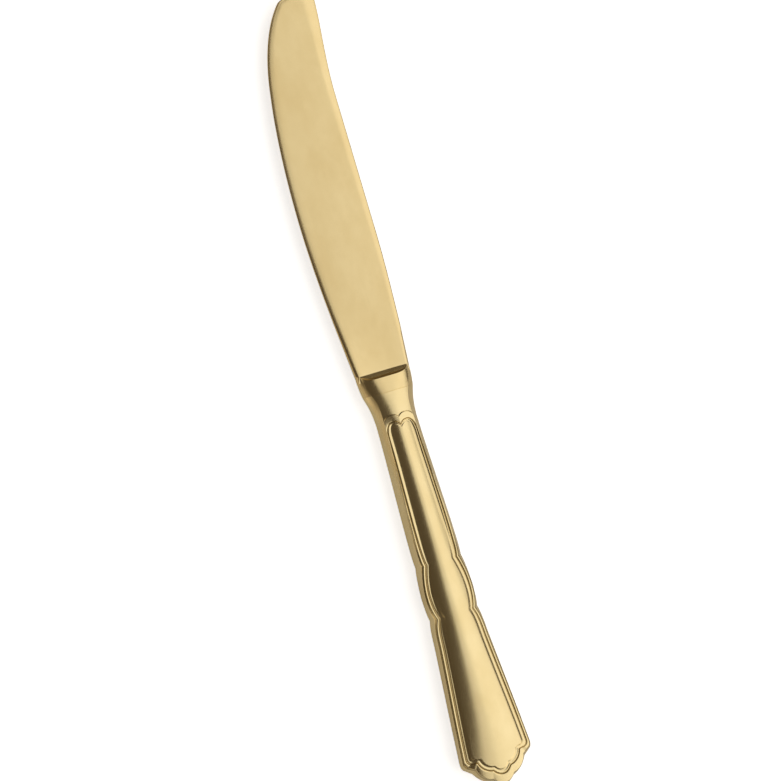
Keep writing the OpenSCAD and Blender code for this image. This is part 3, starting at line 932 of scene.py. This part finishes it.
def add_node(
    tree: NodeTree,
    kind: str,
    inputs: dict[str | int, object] | None = None,
    output: str | int = 0,
    **settings: object,
) -> NodeSocket | None:
    """Add one node to a tree.

    Args:
        tree: Tree that the node goes into.
        kind: Blender's name for the node, after its ShaderNode.
        inputs: What each input gets: another node's output, which is linked, or a plain value.
        output: Which of its outputs is wanted.
        settings: The node's own settings.

    Returns:
        That output, or nothing where the node has none.
    """
    node = tree.nodes.new(f"ShaderNode{kind}")
    for name, value in settings.items():
        setattr(node, name, value)
    for name, value in (inputs or {}).items():
        if isinstance(value, NodeSocket):
            tree.links.new(value, node.inputs[name])
        else:
            node.inputs[name].default_value = value
    return node.outputs[output] if node.outputs else None


def new_material(name: str) -> tuple[Material, NodeTree]:
    """Add a material.

    Args:
        name: Its name.

    Returns:
        The material and its empty node tree.
    """
    material = bpy.data.materials.new(name)
    material.use_nodes = True
    material.node_tree.nodes.clear()
    return material, material.node_tree


def grain(tree: NodeTree, size_mm: Point, detail: float) -> NodeSocket:
    """Add a noise pattern.

    Args:
        tree: Tree that it goes into.
        size_mm: Size of its grains along each axis, in millimetres.
        detail: How many finer layers it has.

    Returns:
        The noise's value.
    """
    spot = add_node(tree, "TexCoord", output="Object")
    scale = tuple(1 / (size * MM) for size in size_mm)
    spot = add_node(tree, "Mapping", {"Vector": spot, "Scale": scale})
    noise = {"Vector": spot, "Scale": 1.0, "Detail": detail, "Roughness": NOISE_ROUGHNESS}
    return add_node(tree, "TexNoise", noise, "Fac")


@dataclass(frozen=True)
class SatinGoldPlate:
    """Thin gold plate on stainless steel that was brushed satin before it was plated."""

    name: str
    colour: str
    shade: str
    stroke_mm: Point
    stroke_depth_mm: float
    # Colour of the painted shade that darkens the border's grooves
    painted_shade: str = "#8C743C"
    roughness: float = 0.24
    uneven: float = 0.02
    cloud_mm: Point = (9, 14, 9)

    def material(self) -> Material:
        """Make the material.

        Returns:
            The material, darkened by painted shade in the border's grooves as far as its attribute
            says.
        """
        material, tree = new_material(self.name)
        strokes = grain(tree, self.stroke_mm, detail=2)
        clouds = grain(tree, self.cloud_mm, detail=3)
        cloudy = add_node(tree, "MapRange", {**NOISE_BAND, "Value": clouds})
        tones = {SHARE: cloudy, FIRST: linear(self.colour), SECOND: linear(self.shade)}
        plate = add_node(tree, "Mix", tones, MIXED, data_type="RGBA")
        # Painted shade: the piece's attribute darkens the plate in its grooves
        sunk = add_node(tree, "Attribute", output="Fac", attribute_name=PAINTED_SHADE_NAME)
        tones = {SHARE: sunk, FIRST: plate, SECOND: linear(self.painted_shade)}
        tint = add_node(tree, "Mix", tones, MIXED, data_type="RGBA")
        depth = {"Height": strokes, "Distance": self.stroke_depth_mm * MM, "Strength": 1.0}
        satin = {"To Min": self.roughness - self.uneven, "To Max": self.roughness + self.uneven}
        surface = {
            "Base Color": tint,
            "Metallic": 1.0,
            "Roughness": add_node(tree, "MapRange", {**NOISE_BAND, **satin, "Value": strokes}),
            "Normal": add_node(tree, "Bump", depth),
        }
        shader = add_node(tree, "BsdfPrincipled", surface)
        add_node(tree, "OutputMaterial", {"Surface": shader})
        return material


@dataclass(frozen=True)
class CastFinish:
    """Surface left as it set or froze, with a fine grit."""

    name: str
    colour: str
    shade: str
    metallic: float
    roughness: float
    grit_mm: float
    grit_depth_mm: float

    def material(self) -> Material:
        """Make the material.

        Returns:
            The material, between its two tones grain by grain.
        """
        material, tree = new_material(self.name)
        grit = grain(tree, (self.grit_mm,) * 3, detail=4)
        spread = add_node(tree, "MapRange", {**NOISE_BAND, "Value": grit})
        tones = {SHARE: spread, FIRST: linear(self.colour), SECOND: linear(self.shade)}
        surface = {
            "Base Color": add_node(tree, "Mix", tones, MIXED, data_type="RGBA"),
            "Metallic": self.metallic,
            "Roughness": self.roughness,
            "Normal": add_node(tree, "Bump", {"Height": grit, "Distance": self.grit_depth_mm * MM}),
        }
        shader = add_node(tree, "BsdfPrincipled", surface)
        add_node(tree, "OutputMaterial", {"Surface": shader})
        return material


# Gold plate on steel that is brushed along the blade. The eye gets one broad, soft, warm sheen with
# faint lengthwise strokes. Real strokes are finer than a pixel, so they are drawn 0.35 mm wide.
BLADE_PLATE = SatinGoldPlate(
    "gold_plated_brushed_steel", "#EAD39D", "#E3CA92", (0.35, 12, 0.35), 0.0006
)
# Gold plate on stamped steel that is matted all round. The eye gets soft bands of light and brown
# shadow over the dome, and its grooves get darker lines of painted shade. Its grain is drawn 0.5 mm
# wide, coarser than it is, so that it shows.
HANDLE_PLATE = SatinGoldPlate(
    "gold_plated_stamped_steel", "#EDD8A4", "#E6CF98", (0.5, 0.5, 0.5), 0.0004
)
# Silver brazing alloy, frozen as it flowed. It would look pale, smooth and a little wavy.
BRAZING = CastFinish("silver_brazing_alloy", "#C9C3B4", "#B3AB98", 1.0, 0.35, 0.6, 0.01)
# Resin cement loaded with chalk, poured and set. It would look grey-brown, dry and gritty.
CEMENT = CastFinish("chalk_filled_cement", "#8F8578", "#7C7265", 0.0, 0.9, 0.25, 0.03)


# --- Pieces ---


class Face(IntEnum):
    """Side of the middle plane on which a shell lies, as the sign of Z."""

    FRONT = 1
    BACK = -1


class Side(IntEnum):
    """Side of the blade, as the sign of X."""

    SPINE = 1
    EDGE = -1


@dataclass
class Piece:
    """Piece that is modelled anew in the place of its CAD node."""

    name: str
    node: str
    slot: str
    origin: Vector

    def dress(self, piece: Object, material: Material) -> None:
        """Give the finished mesh its material, and put it in its CAD node's place.

        Args:
            piece: The mesh's object.
            material: What it is finished with.
        """
        piece.data.materials.clear()
        piece.data.materials.append(material)
        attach(piece, "root")
        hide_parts(self.node)
        LOG.info("%s: %d faces in place of %s", piece.name, len(piece.data.polygons), self.node)


@dataclass
class Shell(Piece):
    """Stamped half shell of the handle."""

    lines: HandleLines
    face: Face
    wall: float = 0.9
    border: BorderSection = BorderSection()
    smooth_below: float = 32

    def turned(self, rows: Rows) -> Rows:
        """Return rows on this shell's side of the middle plane."""
        return [[(x, y, self.face * z) for x, y, z in row] for row in rows]

    def build(self) -> Object:
        """Model the shell: both of its skins, and the strips that join them at seam and mouth.

        Returns:
            A closed mesh in its place.
        """
        outer, inner = Skin(self.lines, 0, MOUTH_EASE), Skin(self.lines, self.wall, 0)
        walls = [skin.wall_rows() for skin in (outer, inner)]
        necks = [skin.neck_rows() for skin in (outer, inner)]
        seam = [[b[0], a[0]] for a, b in zip(*walls)]
        edges = [wall[0] + neck[0][1:] for wall, neck in zip(walls, necks)]
        mouth = [list(pair) for pair in zip(*edges)]
        bordered, painted_darkness = outer.bordered_rows(self.border)
        skins = [bordered, *walls, *necks, inner.plain_rows(), seam, mouth]
        sheets = [add_sheet(self.turned(rows)) for rows in skins]
        # Painted shade for the grooves, stored on the bordered skin's points
        painted_shade = sheets[0].data.attributes.new(PAINTED_SHADE_NAME, "FLOAT", "POINT")
        painted_shade.data.foreach_set("value", np.ravel(painted_darkness))
        piece = join(self.name, sheets)
        mirror(piece, Axis.ACROSS)
        ridge = [row[-1] for row in self.turned(walls[0])[: len(outer.stations()) + 1]]
        crease(piece, ridge + [(-x, y, z) for x, y, z in ridge])
        place(piece, self.origin, self.smooth_below)
        return piece


@dataclass
class Blade(Piece):
    """Forging with blade, cove, bolster, spigot and notched tang."""

    form: BladeForm
    handle: HandleForm
    # Share of the climb from the flat to the bolster, against the share of the cove
    cove_climb: ShareTable = ShareTable(((0, 0), (0.18, 0.12), (0.62, 0.45), (1, 1)))
    # The cove runs out towards the ridge: power of its curve, and the share of its length there
    cove_power: float = 6
    cove_least: float = 0.15
    cove_from: float = 0.1
    # Height of the plate's root where its wall starts, as a share of the flat's height
    root_least: float = 0.1
    # Columns across the faces and the bolster's top crowd towards the sides by this power
    crowding: float = 1.5
    face_columns: int = 36
    top_columns: int = 20
    rounding_steps: int = 8
    settling_rounds: int = 8
    finer_steps: int = 4
    ring_count: int = 12
    spigot_rings: int = 4
    notch_columns: int = 12
    smooth_below: float = 18

    # Plate

    def walled_outline(self) -> np.ndarray:
        """Work out the blade's outline and its wall.

        Returns:
            Rows from the heel's edge side round the point to its spine side, with x, y, how far
            the wall draws in, and how round it does so.
        """
        form, half = self.form, self.form.width / 2
        points = [Vector((half * x, form.length * y)) for x, y, _ in form.outline]
        bends = [bend for _, _, bend in form.outline]
        outline = run([*points, Vector((half * form.heel_end_share, 0))], bends, form.fineness)
        edge = (form.drawn(form.bevel, form.edge_thick), form.bevel_roundness)
        spine = (form.drawn(form.spine_ease, form.heel_thick), form.spine_roundness)
        corners = [(form.drawn(form.heel_chamfer, form.heel_edge_thick), form.heel_roundness)]
        corners += [edge] * form.edge_points + [spine] * form.spine_points
        corners.append((form.drawn(form.back_chamfer, form.heel_thick), 0))
        draws = np.array(corners)
        walls = [
            mix(draws[k], draws[k + 1], t * (2 - t))
            for k, bend in enumerate(bends)
            for t in shares(bend.steps * form.fineness)[:-1]
        ]
        return np.array([[*p, *wall] for p, wall in zip(outline, [*walls, draws[-1]])])

    def chains(self) -> tuple[np.ndarray, np.ndarray]:
        """Part the outline at the point.

        Returns:
            The edge's side and the spine's side, row for row at the same places along the blade.
        """
        form, table = self.form, self.walled_outline()
        steps = [bend.steps for _, _, bend in form.outline[: form.edge_points + 1]]
        tip = form.fineness * sum(steps)
        left, right = table[: tip + 1], table[tip:][::-1]
        level = np.column_stack([np.interp(left[:, 1], right[:, 1], column) for column in right.T])
        level[:, 1] = left[:, 1]
        return left, level

    def finer(self, side: np.ndarray) -> np.ndarray:
        """Return a side of the outline with points between its own, for measuring from it."""
        steps = [(k, t) for k in range(len(side) - 1) for t in shares(self.finer_steps)[:-1]]
        return np.array([mix(side[k], side[k + 1], t) for k, t in steps])

    def heights(self, plan: np.ndarray, edge: np.ndarray, spine: np.ndarray) -> np.ndarray:
        """Work out the height of the blade's face, which falls softly towards both sides.

        Args:
            plan: Plan points, as rows of x and y.
            edge: The edge's side of the outline.
            spine: The spine's side of the outline.

        Returns:
            Height at each plan point.
        """
        form = self.form
        height = np.array([form.flat_z(x, y) for x, y in plan])
        falls = [form.width * form.fall_width.at(y / form.length) for y in spine[:, 1]]
        edge_falls = [form.edge_fall_width] * len(edge)
        for side, corner, widths in (
            (spine, form.spine_ease, falls),
            (edge, form.bevel, edge_falls),
        ):
            far = np.linalg.norm(plan[:, None, :] - side[None, :, :2], axis=2)
            width = np.array(widths)[far.argmin(axis=1)]
            inside = np.clip(far.min(axis=1) - corner, 0, None)
            height = height - form.fall_slope * width * np.clip(1 - inside / width, 0, 1) ** 2
        return height

    def round_row(self, points: np.ndarray, heights: np.ndarray, share: float) -> Row:
        """Work out one row round the plate.

        Args:
            points: Plan points from the heel's edge side to its spine side.
            heights: Their heights.
            share: Share of the flat's height at which the root's corners lie.

        Returns:
            The row, between the two corners of the root.
        """
        form, y = self.form, -self.form.root_length
        x = form.width / 2 * form.heel_end_share - form.overrun
        last, first = ((side * x, y, share * form.flat_z(side * x, y)) for side in Side)
        return [first, *((x, y, z) for (x, y), z in zip(points, heights)), last]

    def across(self, start: Point, stop: Point) -> Row:
        """Return points from one side of the plate straight across to the other."""
        places = [1 - (1 - q) ** self.crowding for q in shares(self.face_columns)]
        return [tuple(mix(Vector(start), Vector(stop), t)) for t in places]

    def plate_rows(self) -> list[Rows]:
        """Work out the upper half of the blade.

        Returns:
            Its wall, its flat and its root.
        """
        form = self.form
        left, right = self.chains()
        edge, spine = self.finer(left), self.finer(right)
        loop = np.vstack([left, right[-2::-1]])
        plan, draw, soft = loop[:, :2], loop[:, 2], loop[:, 3]
        along = np.gradient(plan, axis=0)
        along /= np.linalg.norm(along, axis=1)[:, None]
        inward = draw[:, None] * np.column_stack([along[:, 1], -along[:, 0]])

        # The wall ends where it meets the face, whose height depends on how far in that is
        low, rise, way = form.land / 2, form.wall_rise, np.zeros(len(plan))
        for _ in range(self.settling_rounds):
            way = (self.heights(plan + way[:, None] * inward, edge, spine) - low) / rise

        rows = [self.round_row(plan, np.zeros(len(plan)), 0)]
        for t in shares(self.rounding_steps):
            turn = math.radians(90) * t
            in_share, up_share = mix(t, 1 - math.cos(turn), soft), mix(t, math.sin(turn), soft)
            points = plan + (in_share * way)[:, None] * inward
            heights = low + up_share * way * rise
            rows.append(self.round_row(points, heights, mix(self.root_least, 1, t)))

        top, count = rows[-1], len(left)
        starts, stops = top[: count + 1], [*top[count + 1 :][::-1], top[count]]
        face = np.array([self.across(a, b) for a, b in zip(starts, stops)])
        inside = face[1:, 1:-1]
        plans = inside[..., :2].reshape(-1, 2)
        inside[..., 2] = self.heights(plans, edge, spine).reshape(inside.shape[:2])
        return [rows, face.tolist(), [self.across(row[0], row[-1]) for row in rows]]

    def plate(self) -> Object:
        """Model the blade without its bolster.

        Returns:
            A closed mesh in the handle's own space.
        """
        forward = self.handle.bolster_length
        sheets = [
            add_sheet([[(x, y + forward, z) for x, y, z in row] for row in rows])
            for rows in self.plate_rows()
        ]
        piece = join(self.name, sheets)
        mirror(piece, Axis.UP)
        return piece

    # Bolster, spigot and tang

    def flat_at(self, x: float, s: float) -> float:
        """Return the height of the blade's flat at a place of the handle's plan."""
        return self.form.flat_z(x, -s - self.handle.bolster_length)

    def cove_end(self, out: float) -> float:
        """Return where the cove ends at a share of the way from the middle to the ridge."""
        reach = mix(1, self.cove_least, abs(out) ** self.cove_power)
        return self.form.cove_length * reach - self.handle.bolster_length

    def chamfer(self, side: Side) -> float:
        """Return the width of the heel's chamfer on one side."""
        return self.form.back_chamfer if side is Side.SPINE else self.form.heel_chamfer

    def quarter(self, foot: Point, top: Callable[[float], Point]) -> Row:
        """Return a quarter ring from its foot on; top gives its point at a share of the way out."""
        outs = [1 - q**self.crowding for q in shares(self.top_columns)[1:]]
        return [*self.handle.wall(foot, top(1)), *(top(out) for out in outs)]

    def ring(self, maker: Callable[[Side], Row]) -> Row:
        """Return a whole ring, for what gives its upper quarter on one side."""
        top = [*maker(Side.SPINE), *maker(Side.EDGE)[-2::-1]]
        return [*top, *((x, y, -z) for x, y, z in top[-2:0:-1])]

    def buried_quarter(self, side: Side) -> Row:
        """Work out the quarter inside the blade at which the cove starts.

        Args:
            side: Spine's or edge's side.

        Returns:
            Its points.
        """
        handle, overrun = self.handle, self.form.overrun
        s = -handle.bolster_length - overrun
        wide = side * (handle.ridge_x(-handle.bolster_length, self.chamfer(side)) - overrun)
        foot = (side * (handle.shoulder_width - overrun) / 2, -s, 0)
        return self.quarter(
            foot, lambda out: (out * wide, -s, self.flat_at(out * wide, s) - overrun / 2)
        )

    def outer_quarter(self, side: Side, way: float, sink: float = 0) -> Row:
        """Work out a quarter of cove or bolster.

        Args:
            side: Spine's or edge's side.
            way: Place from 0 at the shoulder over 1 at the cove's end to 2 at the mouth.
            sink: How far it lies below their surface.

        Returns:
            Its points.
        """
        handle, start = self.handle, -self.handle.bolster_length
        climb, chamfer = self.cove_climb.at(way), self.chamfer(side)

        def place_at(out: float) -> float:
            """Return the place s at a share of the way out to the ridge."""
            end = self.cove_end(out)
            return mix(start, end, way) if way <= 1 else mix(end, 0, way - 1)

        def top(out: float) -> Point:
            """Return the point at a share of the way out to the ridge."""
            s = place_at(out)
            x = side * out * handle.ridge_x(s, chamfer)
            return (x, -s, mix(self.flat_at(x, start), handle.neck_z(out, s), climb) - sink)

        foot = (side * (handle.side_x(place_at(1)) - sink), -place_at(1), 0)
        return self.quarter(foot, top)

    def spigot_quarter(self, side: Side, way: float) -> Row:
        """Work out a quarter of the spigot, which fits into the shells.

        Args:
            side: Spine's or edge's side.
            way: Share of its length behind the mouth.

        Returns:
            Its points.
        """
        handle, s = self.handle, self.form.spigot_length * way
        inset = self.form.shell_wall + self.form.fit_gap
        wide = side * (handle.ridge_x(s) - KNEE_SHARE * inset)
        return self.quarter(
            (side * (handle.side_x(s) - inset), -s, 0),
            lambda out: (out * wide, -s, handle.neck_z(out, s) - inset),
        )

    def outer_makers(self) -> list[Callable[[Side], Row]]:
        """Work out the rings that show, from the cove to the mouth.

        Returns:
            What gives the quarters of each ring.
        """
        ways = [*np.linspace(self.cove_from, 1, self.ring_count)]
        ways += [1 + t for t in shares(self.ring_count)[1:-1]]
        ways.append(2 - MOUTH_EASE / self.handle.bolster_length)
        makers = [partial(self.outer_quarter, way=way) for way in ways]
        return [*makers, partial(self.outer_quarter, way=2, sink=MOUTH_EASE)]

    def bolster(self) -> Object:
        """Model cove, bolster and spigot as one tube.

        Returns:
            A closed mesh in the handle's own space.
        """
        spigot = [partial(self.spigot_quarter, way=way) for way in shares(self.spigot_rings)]
        makers = [self.buried_quarter, *self.outer_makers(), *spigot]
        return add_tube([self.ring(maker) for maker in makers])

    def tang(self) -> Object:
        """Model the notched bar that the filling grips.

        Returns:
            A closed mesh in the handle's own space.
        """
        form = self.form
        half, start = form.tang_width / 2, form.spigot_length
        edge = [(half, start - form.overrun)]
        for k in range(form.notch_count):
            middle = start + form.tang_length * (k + 1) / (form.notch_count + 1)
            for turn in (math.pi * t for t in shares(self.notch_columns)):
                x = half - form.notch_depth * math.sin(turn)
                edge.append((x, middle - form.notch_depth * math.cos(turn)))
        edge.append((half, start + form.tang_length))
        plan = [*edge, *((-x, s) for x, s in edge[::-1])]
        levels = (-form.tang_thick / 2, form.tang_thick / 2)
        return add_tube([[(x, -s, z) for x, s in plan] for z in levels])

    def build(self) -> Object:
        """Model the forging.

        Returns:
            One closed mesh in its place.
        """
        piece = self.plate()
        fuse(piece, [self.bolster(), self.tang()])
        corner = self.handle.wall_columns
        ridge = [maker(side)[corner] for maker in self.outer_makers() for side in Side]
        crease(piece, ridge + [(x, y, -z) for x, y, z in ridge])
        place(piece, self.origin, self.smooth_below)
        return piece


@dataclass(frozen=True)
class Inside:
    """Brazing and filling, which are hidden in the handle and keep their CAD meshes."""

    brazed: tuple[str, ...] = ("seam_braze", "neck_braze")
    filled: tuple[str, ...] = ("handle_filling",)

    def dress(self, nodes: dict[str, Object]) -> None:
        """Give the hidden pieces their finishes.

        Args:
            nodes: The CAD nodes by name.
        """
        for names, finish in ((self.brazed, BRAZING), (self.filled, CEMENT)):
            material = finish.material()
            for name in names:
                nodes[name].data.materials.clear()
                nodes[name].data.materials.append(material)
                LOG.info("%s: CAD mesh with %s", name, material.name)


# --- Studio ---


def aim(thing: Object, back: Vector, right: Vector, distance: float, target: Vector) -> None:
    """Put a lamp or the camera in the scene, so that it looks at a target.

    Args:
        thing: The lamp or the camera.
        back: Unit vector from the target towards it.
        right: Unit vector to its right.
        distance: Distance from the target.
        target: What it looks at.
    """
    turn = Matrix((right, back.cross(right), back)).transposed().to_4x4()
    thing.matrix_world = Matrix.Translation(target + distance * back) @ turn
    bpy.context.collection.objects.link(thing)


@dataclass(frozen=True)
class SoftBox:
    """Rectangular soft lamp that points at the knife.

    The turn is its angle from the vertical towards +X, in degrees, the lead how far it stands
    towards the point, and the light how bright its face looks, where 1 is white.
    """

    name: str
    turn: float
    lead: float
    distance: float
    size: tuple[float, float]
    light: float
    colour: str = WHITE

    def build(self) -> None:
        """Put the lamp in its place."""
        turn = math.radians(self.turn)
        way = Vector((math.sin(turn), self.lead, math.cos(turn))).normalized()
        data = bpy.data.lights.new(self.name, "AREA")
        data.shape, (data.size, data.size_y) = "RECTANGLE", self.size
        data.energy = self.light * math.pi * data.size * data.size_y
        data.color = linear(self.colour)[:3]
        lamp = bpy.data.objects.new(self.name, data)
        lamp.visible_camera = False
        right = Vector((0, 1, 0)).cross(way).normalized()
        aim(lamp, way, right, self.distance, Vector((0, 0, 0)))


@dataclass(frozen=True)
class Studio:
    """Pale table in a dim room, soft lamps over the knife's right side, and the camera."""

    # Camera: its target and distance in metres, lens, nearest view, lean to the left and roll
    target: tuple[float, float, float] = (-0.00005, 0.0001, 0.0046)
    distance: float = 0.55
    lens: float = 88.5
    nearest: float = 0.01
    tilt: float = 15.5
    roll: float = 16.5
    # Main lamp with its brighter core, and a low card on the left that lights the side wall
    lamps: tuple[SoftBox, ...] = (
        SoftBox("soft_box", 35, -0.12, 1.0, (1.4, 1.9), 0.78),
        SoftBox("soft_box_core", 34, -0.12, 0.98, (0.7, 1.9), 0.3),
        SoftBox("left_card", -81, 0, 1.3, (0.5, 2.2), 0.47, "#FFF1DC"),
    )
    # The room is dim but for its corners, which start and end at these products of X and Y
    ceiling: str = "#524A40"
    corners: str = "#C2B7A5"
    corner_range: tuple[float, float] = (0.27, 0.36)
    table_size: float = 2.8
    table: str = "#F4F3F1"
    # Glow of the table for rays from the camera, and for mirrored or refracted ones
    table_glow: float = 0.74
    mirrored_glow: float = 0.03
    fibre_mm: float = 1.5
    fibre_depth_mm: float = 0.02

    def camera(self) -> None:
        """Set the scene's camera at the photograph's viewing angle."""
        tilt, roll = math.radians(self.tilt), math.radians(self.roll)
        back = Vector((-math.sin(tilt), 0, math.cos(tilt)))
        level = Vector((math.cos(tilt), 0, math.sin(tilt)))
        right = math.cos(roll) * level - math.sin(roll) * Vector((0, 1, 0))
        data = bpy.data.cameras.new("camera")
        data.lens, data.clip_start = self.lens, self.nearest
        camera = bpy.data.objects.new("camera", data)
        aim(camera, back, right, self.distance, Vector(self.target))
        bpy.context.scene.camera = camera

    def room(self) -> None:
        """Give the world a dim room with pale corners, and white where the camera looks past it."""
        world = bpy.data.worlds.new("studio")
        bpy.context.scene.world = world
        world.use_nodes = True
        tree = world.node_tree
        tree.nodes.clear()
        way = add_node(tree, "TexCoord", output="Generated")
        parts = add_node(tree, "SeparateXYZ", {0: way}).node.outputs
        skew = add_node(tree, "Math", {0: parts["X"], 1: parts["Y"]}, operation="MULTIPLY")
        skew = add_node(tree, "Math", {0: skew}, operation="ABSOLUTE")
        start, end = self.corner_range
        reach = {"Value": skew, "From Min": start, "From Max": end}
        corner = add_node(tree, "MapRange", reach, interpolation_type="SMOOTHSTEP")
        tones = {SHARE: corner, FIRST: linear(self.ceiling), SECOND: linear(self.corners)}
        walls = add_node(tree, "Mix", tones, MIXED, data_type="RGBA")
        seen = add_node(tree, "LightPath", output="Is Camera Ray")
        tones = {SHARE: seen, FIRST: walls, SECOND: linear(WHITE)}
        colour = add_node(tree, "Mix", tones, MIXED, data_type="RGBA")
        light = add_node(tree, "Background", {"Color": colour, "Strength": 1.0})
        add_node(tree, "OutputWorld", {"Surface": light})

    def table_material(self) -> Material:
        """Make the table's material.

        Returns:
            Matt white paper. The eye gets a clean white that keeps the knife's soft shadow, because
            it glows a little for the rays that look at it.
        """
        material, tree = new_material("matt_white_paper")
        path = add_node(tree, "LightPath").node.outputs
        rays = {0: path["Is Glossy Ray"], 1: path["Is Transmission Ray"]}
        mirrored = add_node(tree, "Math", rays, operation="MAXIMUM")
        faint = {0: mirrored, 1: self.mirrored_glow}
        glow = {
            0: path["Is Camera Ray"],
            1: self.table_glow,
            2: add_node(tree, "Math", faint, operation="MULTIPLY"),
        }
        strength = add_node(tree, "Math", glow, operation="MULTIPLY_ADD")
        shine = add_node(tree, "Emission", {"Color": linear(WHITE), "Strength": strength})
        fibres = grain(tree, (self.fibre_mm,) * 3, detail=3)
        bump = add_node(tree, "Bump", {"Height": fibres, "Distance": self.fibre_depth_mm * MM})
        paper = add_node(tree, "BsdfDiffuse", {"Color": linear(self.table), "Normal": bump})
        both = add_node(tree, "AddShader", {0: paper, 1: shine})
        add_node(tree, "OutputMaterial", {"Surface": both})
        return material

    def table_top(self) -> None:
        """Add the table on which the knife lies."""
        bpy.ops.object.select_all(action="DESELECT")
        bpy.ops.mesh.primitive_plane_add(size=self.table_size)
        table = bpy.context.object
        table.name = table.data.name = "table_top"
        table.data.materials.append(self.table_material())

    def build(self) -> None:
        """Set up table, room, lamps and camera."""
        self.table_top()
        self.room()
        for lamp in self.lamps:
            lamp.build()
        self.camera()
        bpy.context.scene.view_settings.view_transform = "Standard"
        LOG.info("studio: table, room, %d lamps and camera", len(self.lamps))


# --- Scene ---


def main() -> None:
    """Build the knife's pieces round the frame, then the studio."""
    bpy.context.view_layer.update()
    low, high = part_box("front_shell")
    origin = Vector(((low.x + high.x) / 2, high.y, low.z))
    # The butt's corner, where the shell is widest, lies at this share of half the butt's width
    corner_share = HandleForm().butt[0][0]
    width = (high.x - low.x) / MM / corner_share
    form = HandleForm(length=(high.y - low.y) / MM, butt_width=width)
    lines = HandleLines(form)

    blade = Blade("forged_blade", "blade", "blade_metal", origin, BladeForm(), form)
    blade.dress(blade.build(), BLADE_PLATE.material())
    plate = HANDLE_PLATE.material()
    for face in Face:
        node = f"{face.name.lower()}_shell"
        shell = Shell(f"stamped_{node}", node, "handle_metal", origin, lines, face)
        shell.dress(shell.build(), plate)
    Inside().dress(frame["nodes"])

    Studio().build()


if __name__ == "__main__":
    logging.basicConfig(level=logging.INFO, format="%(message)s")
    main()
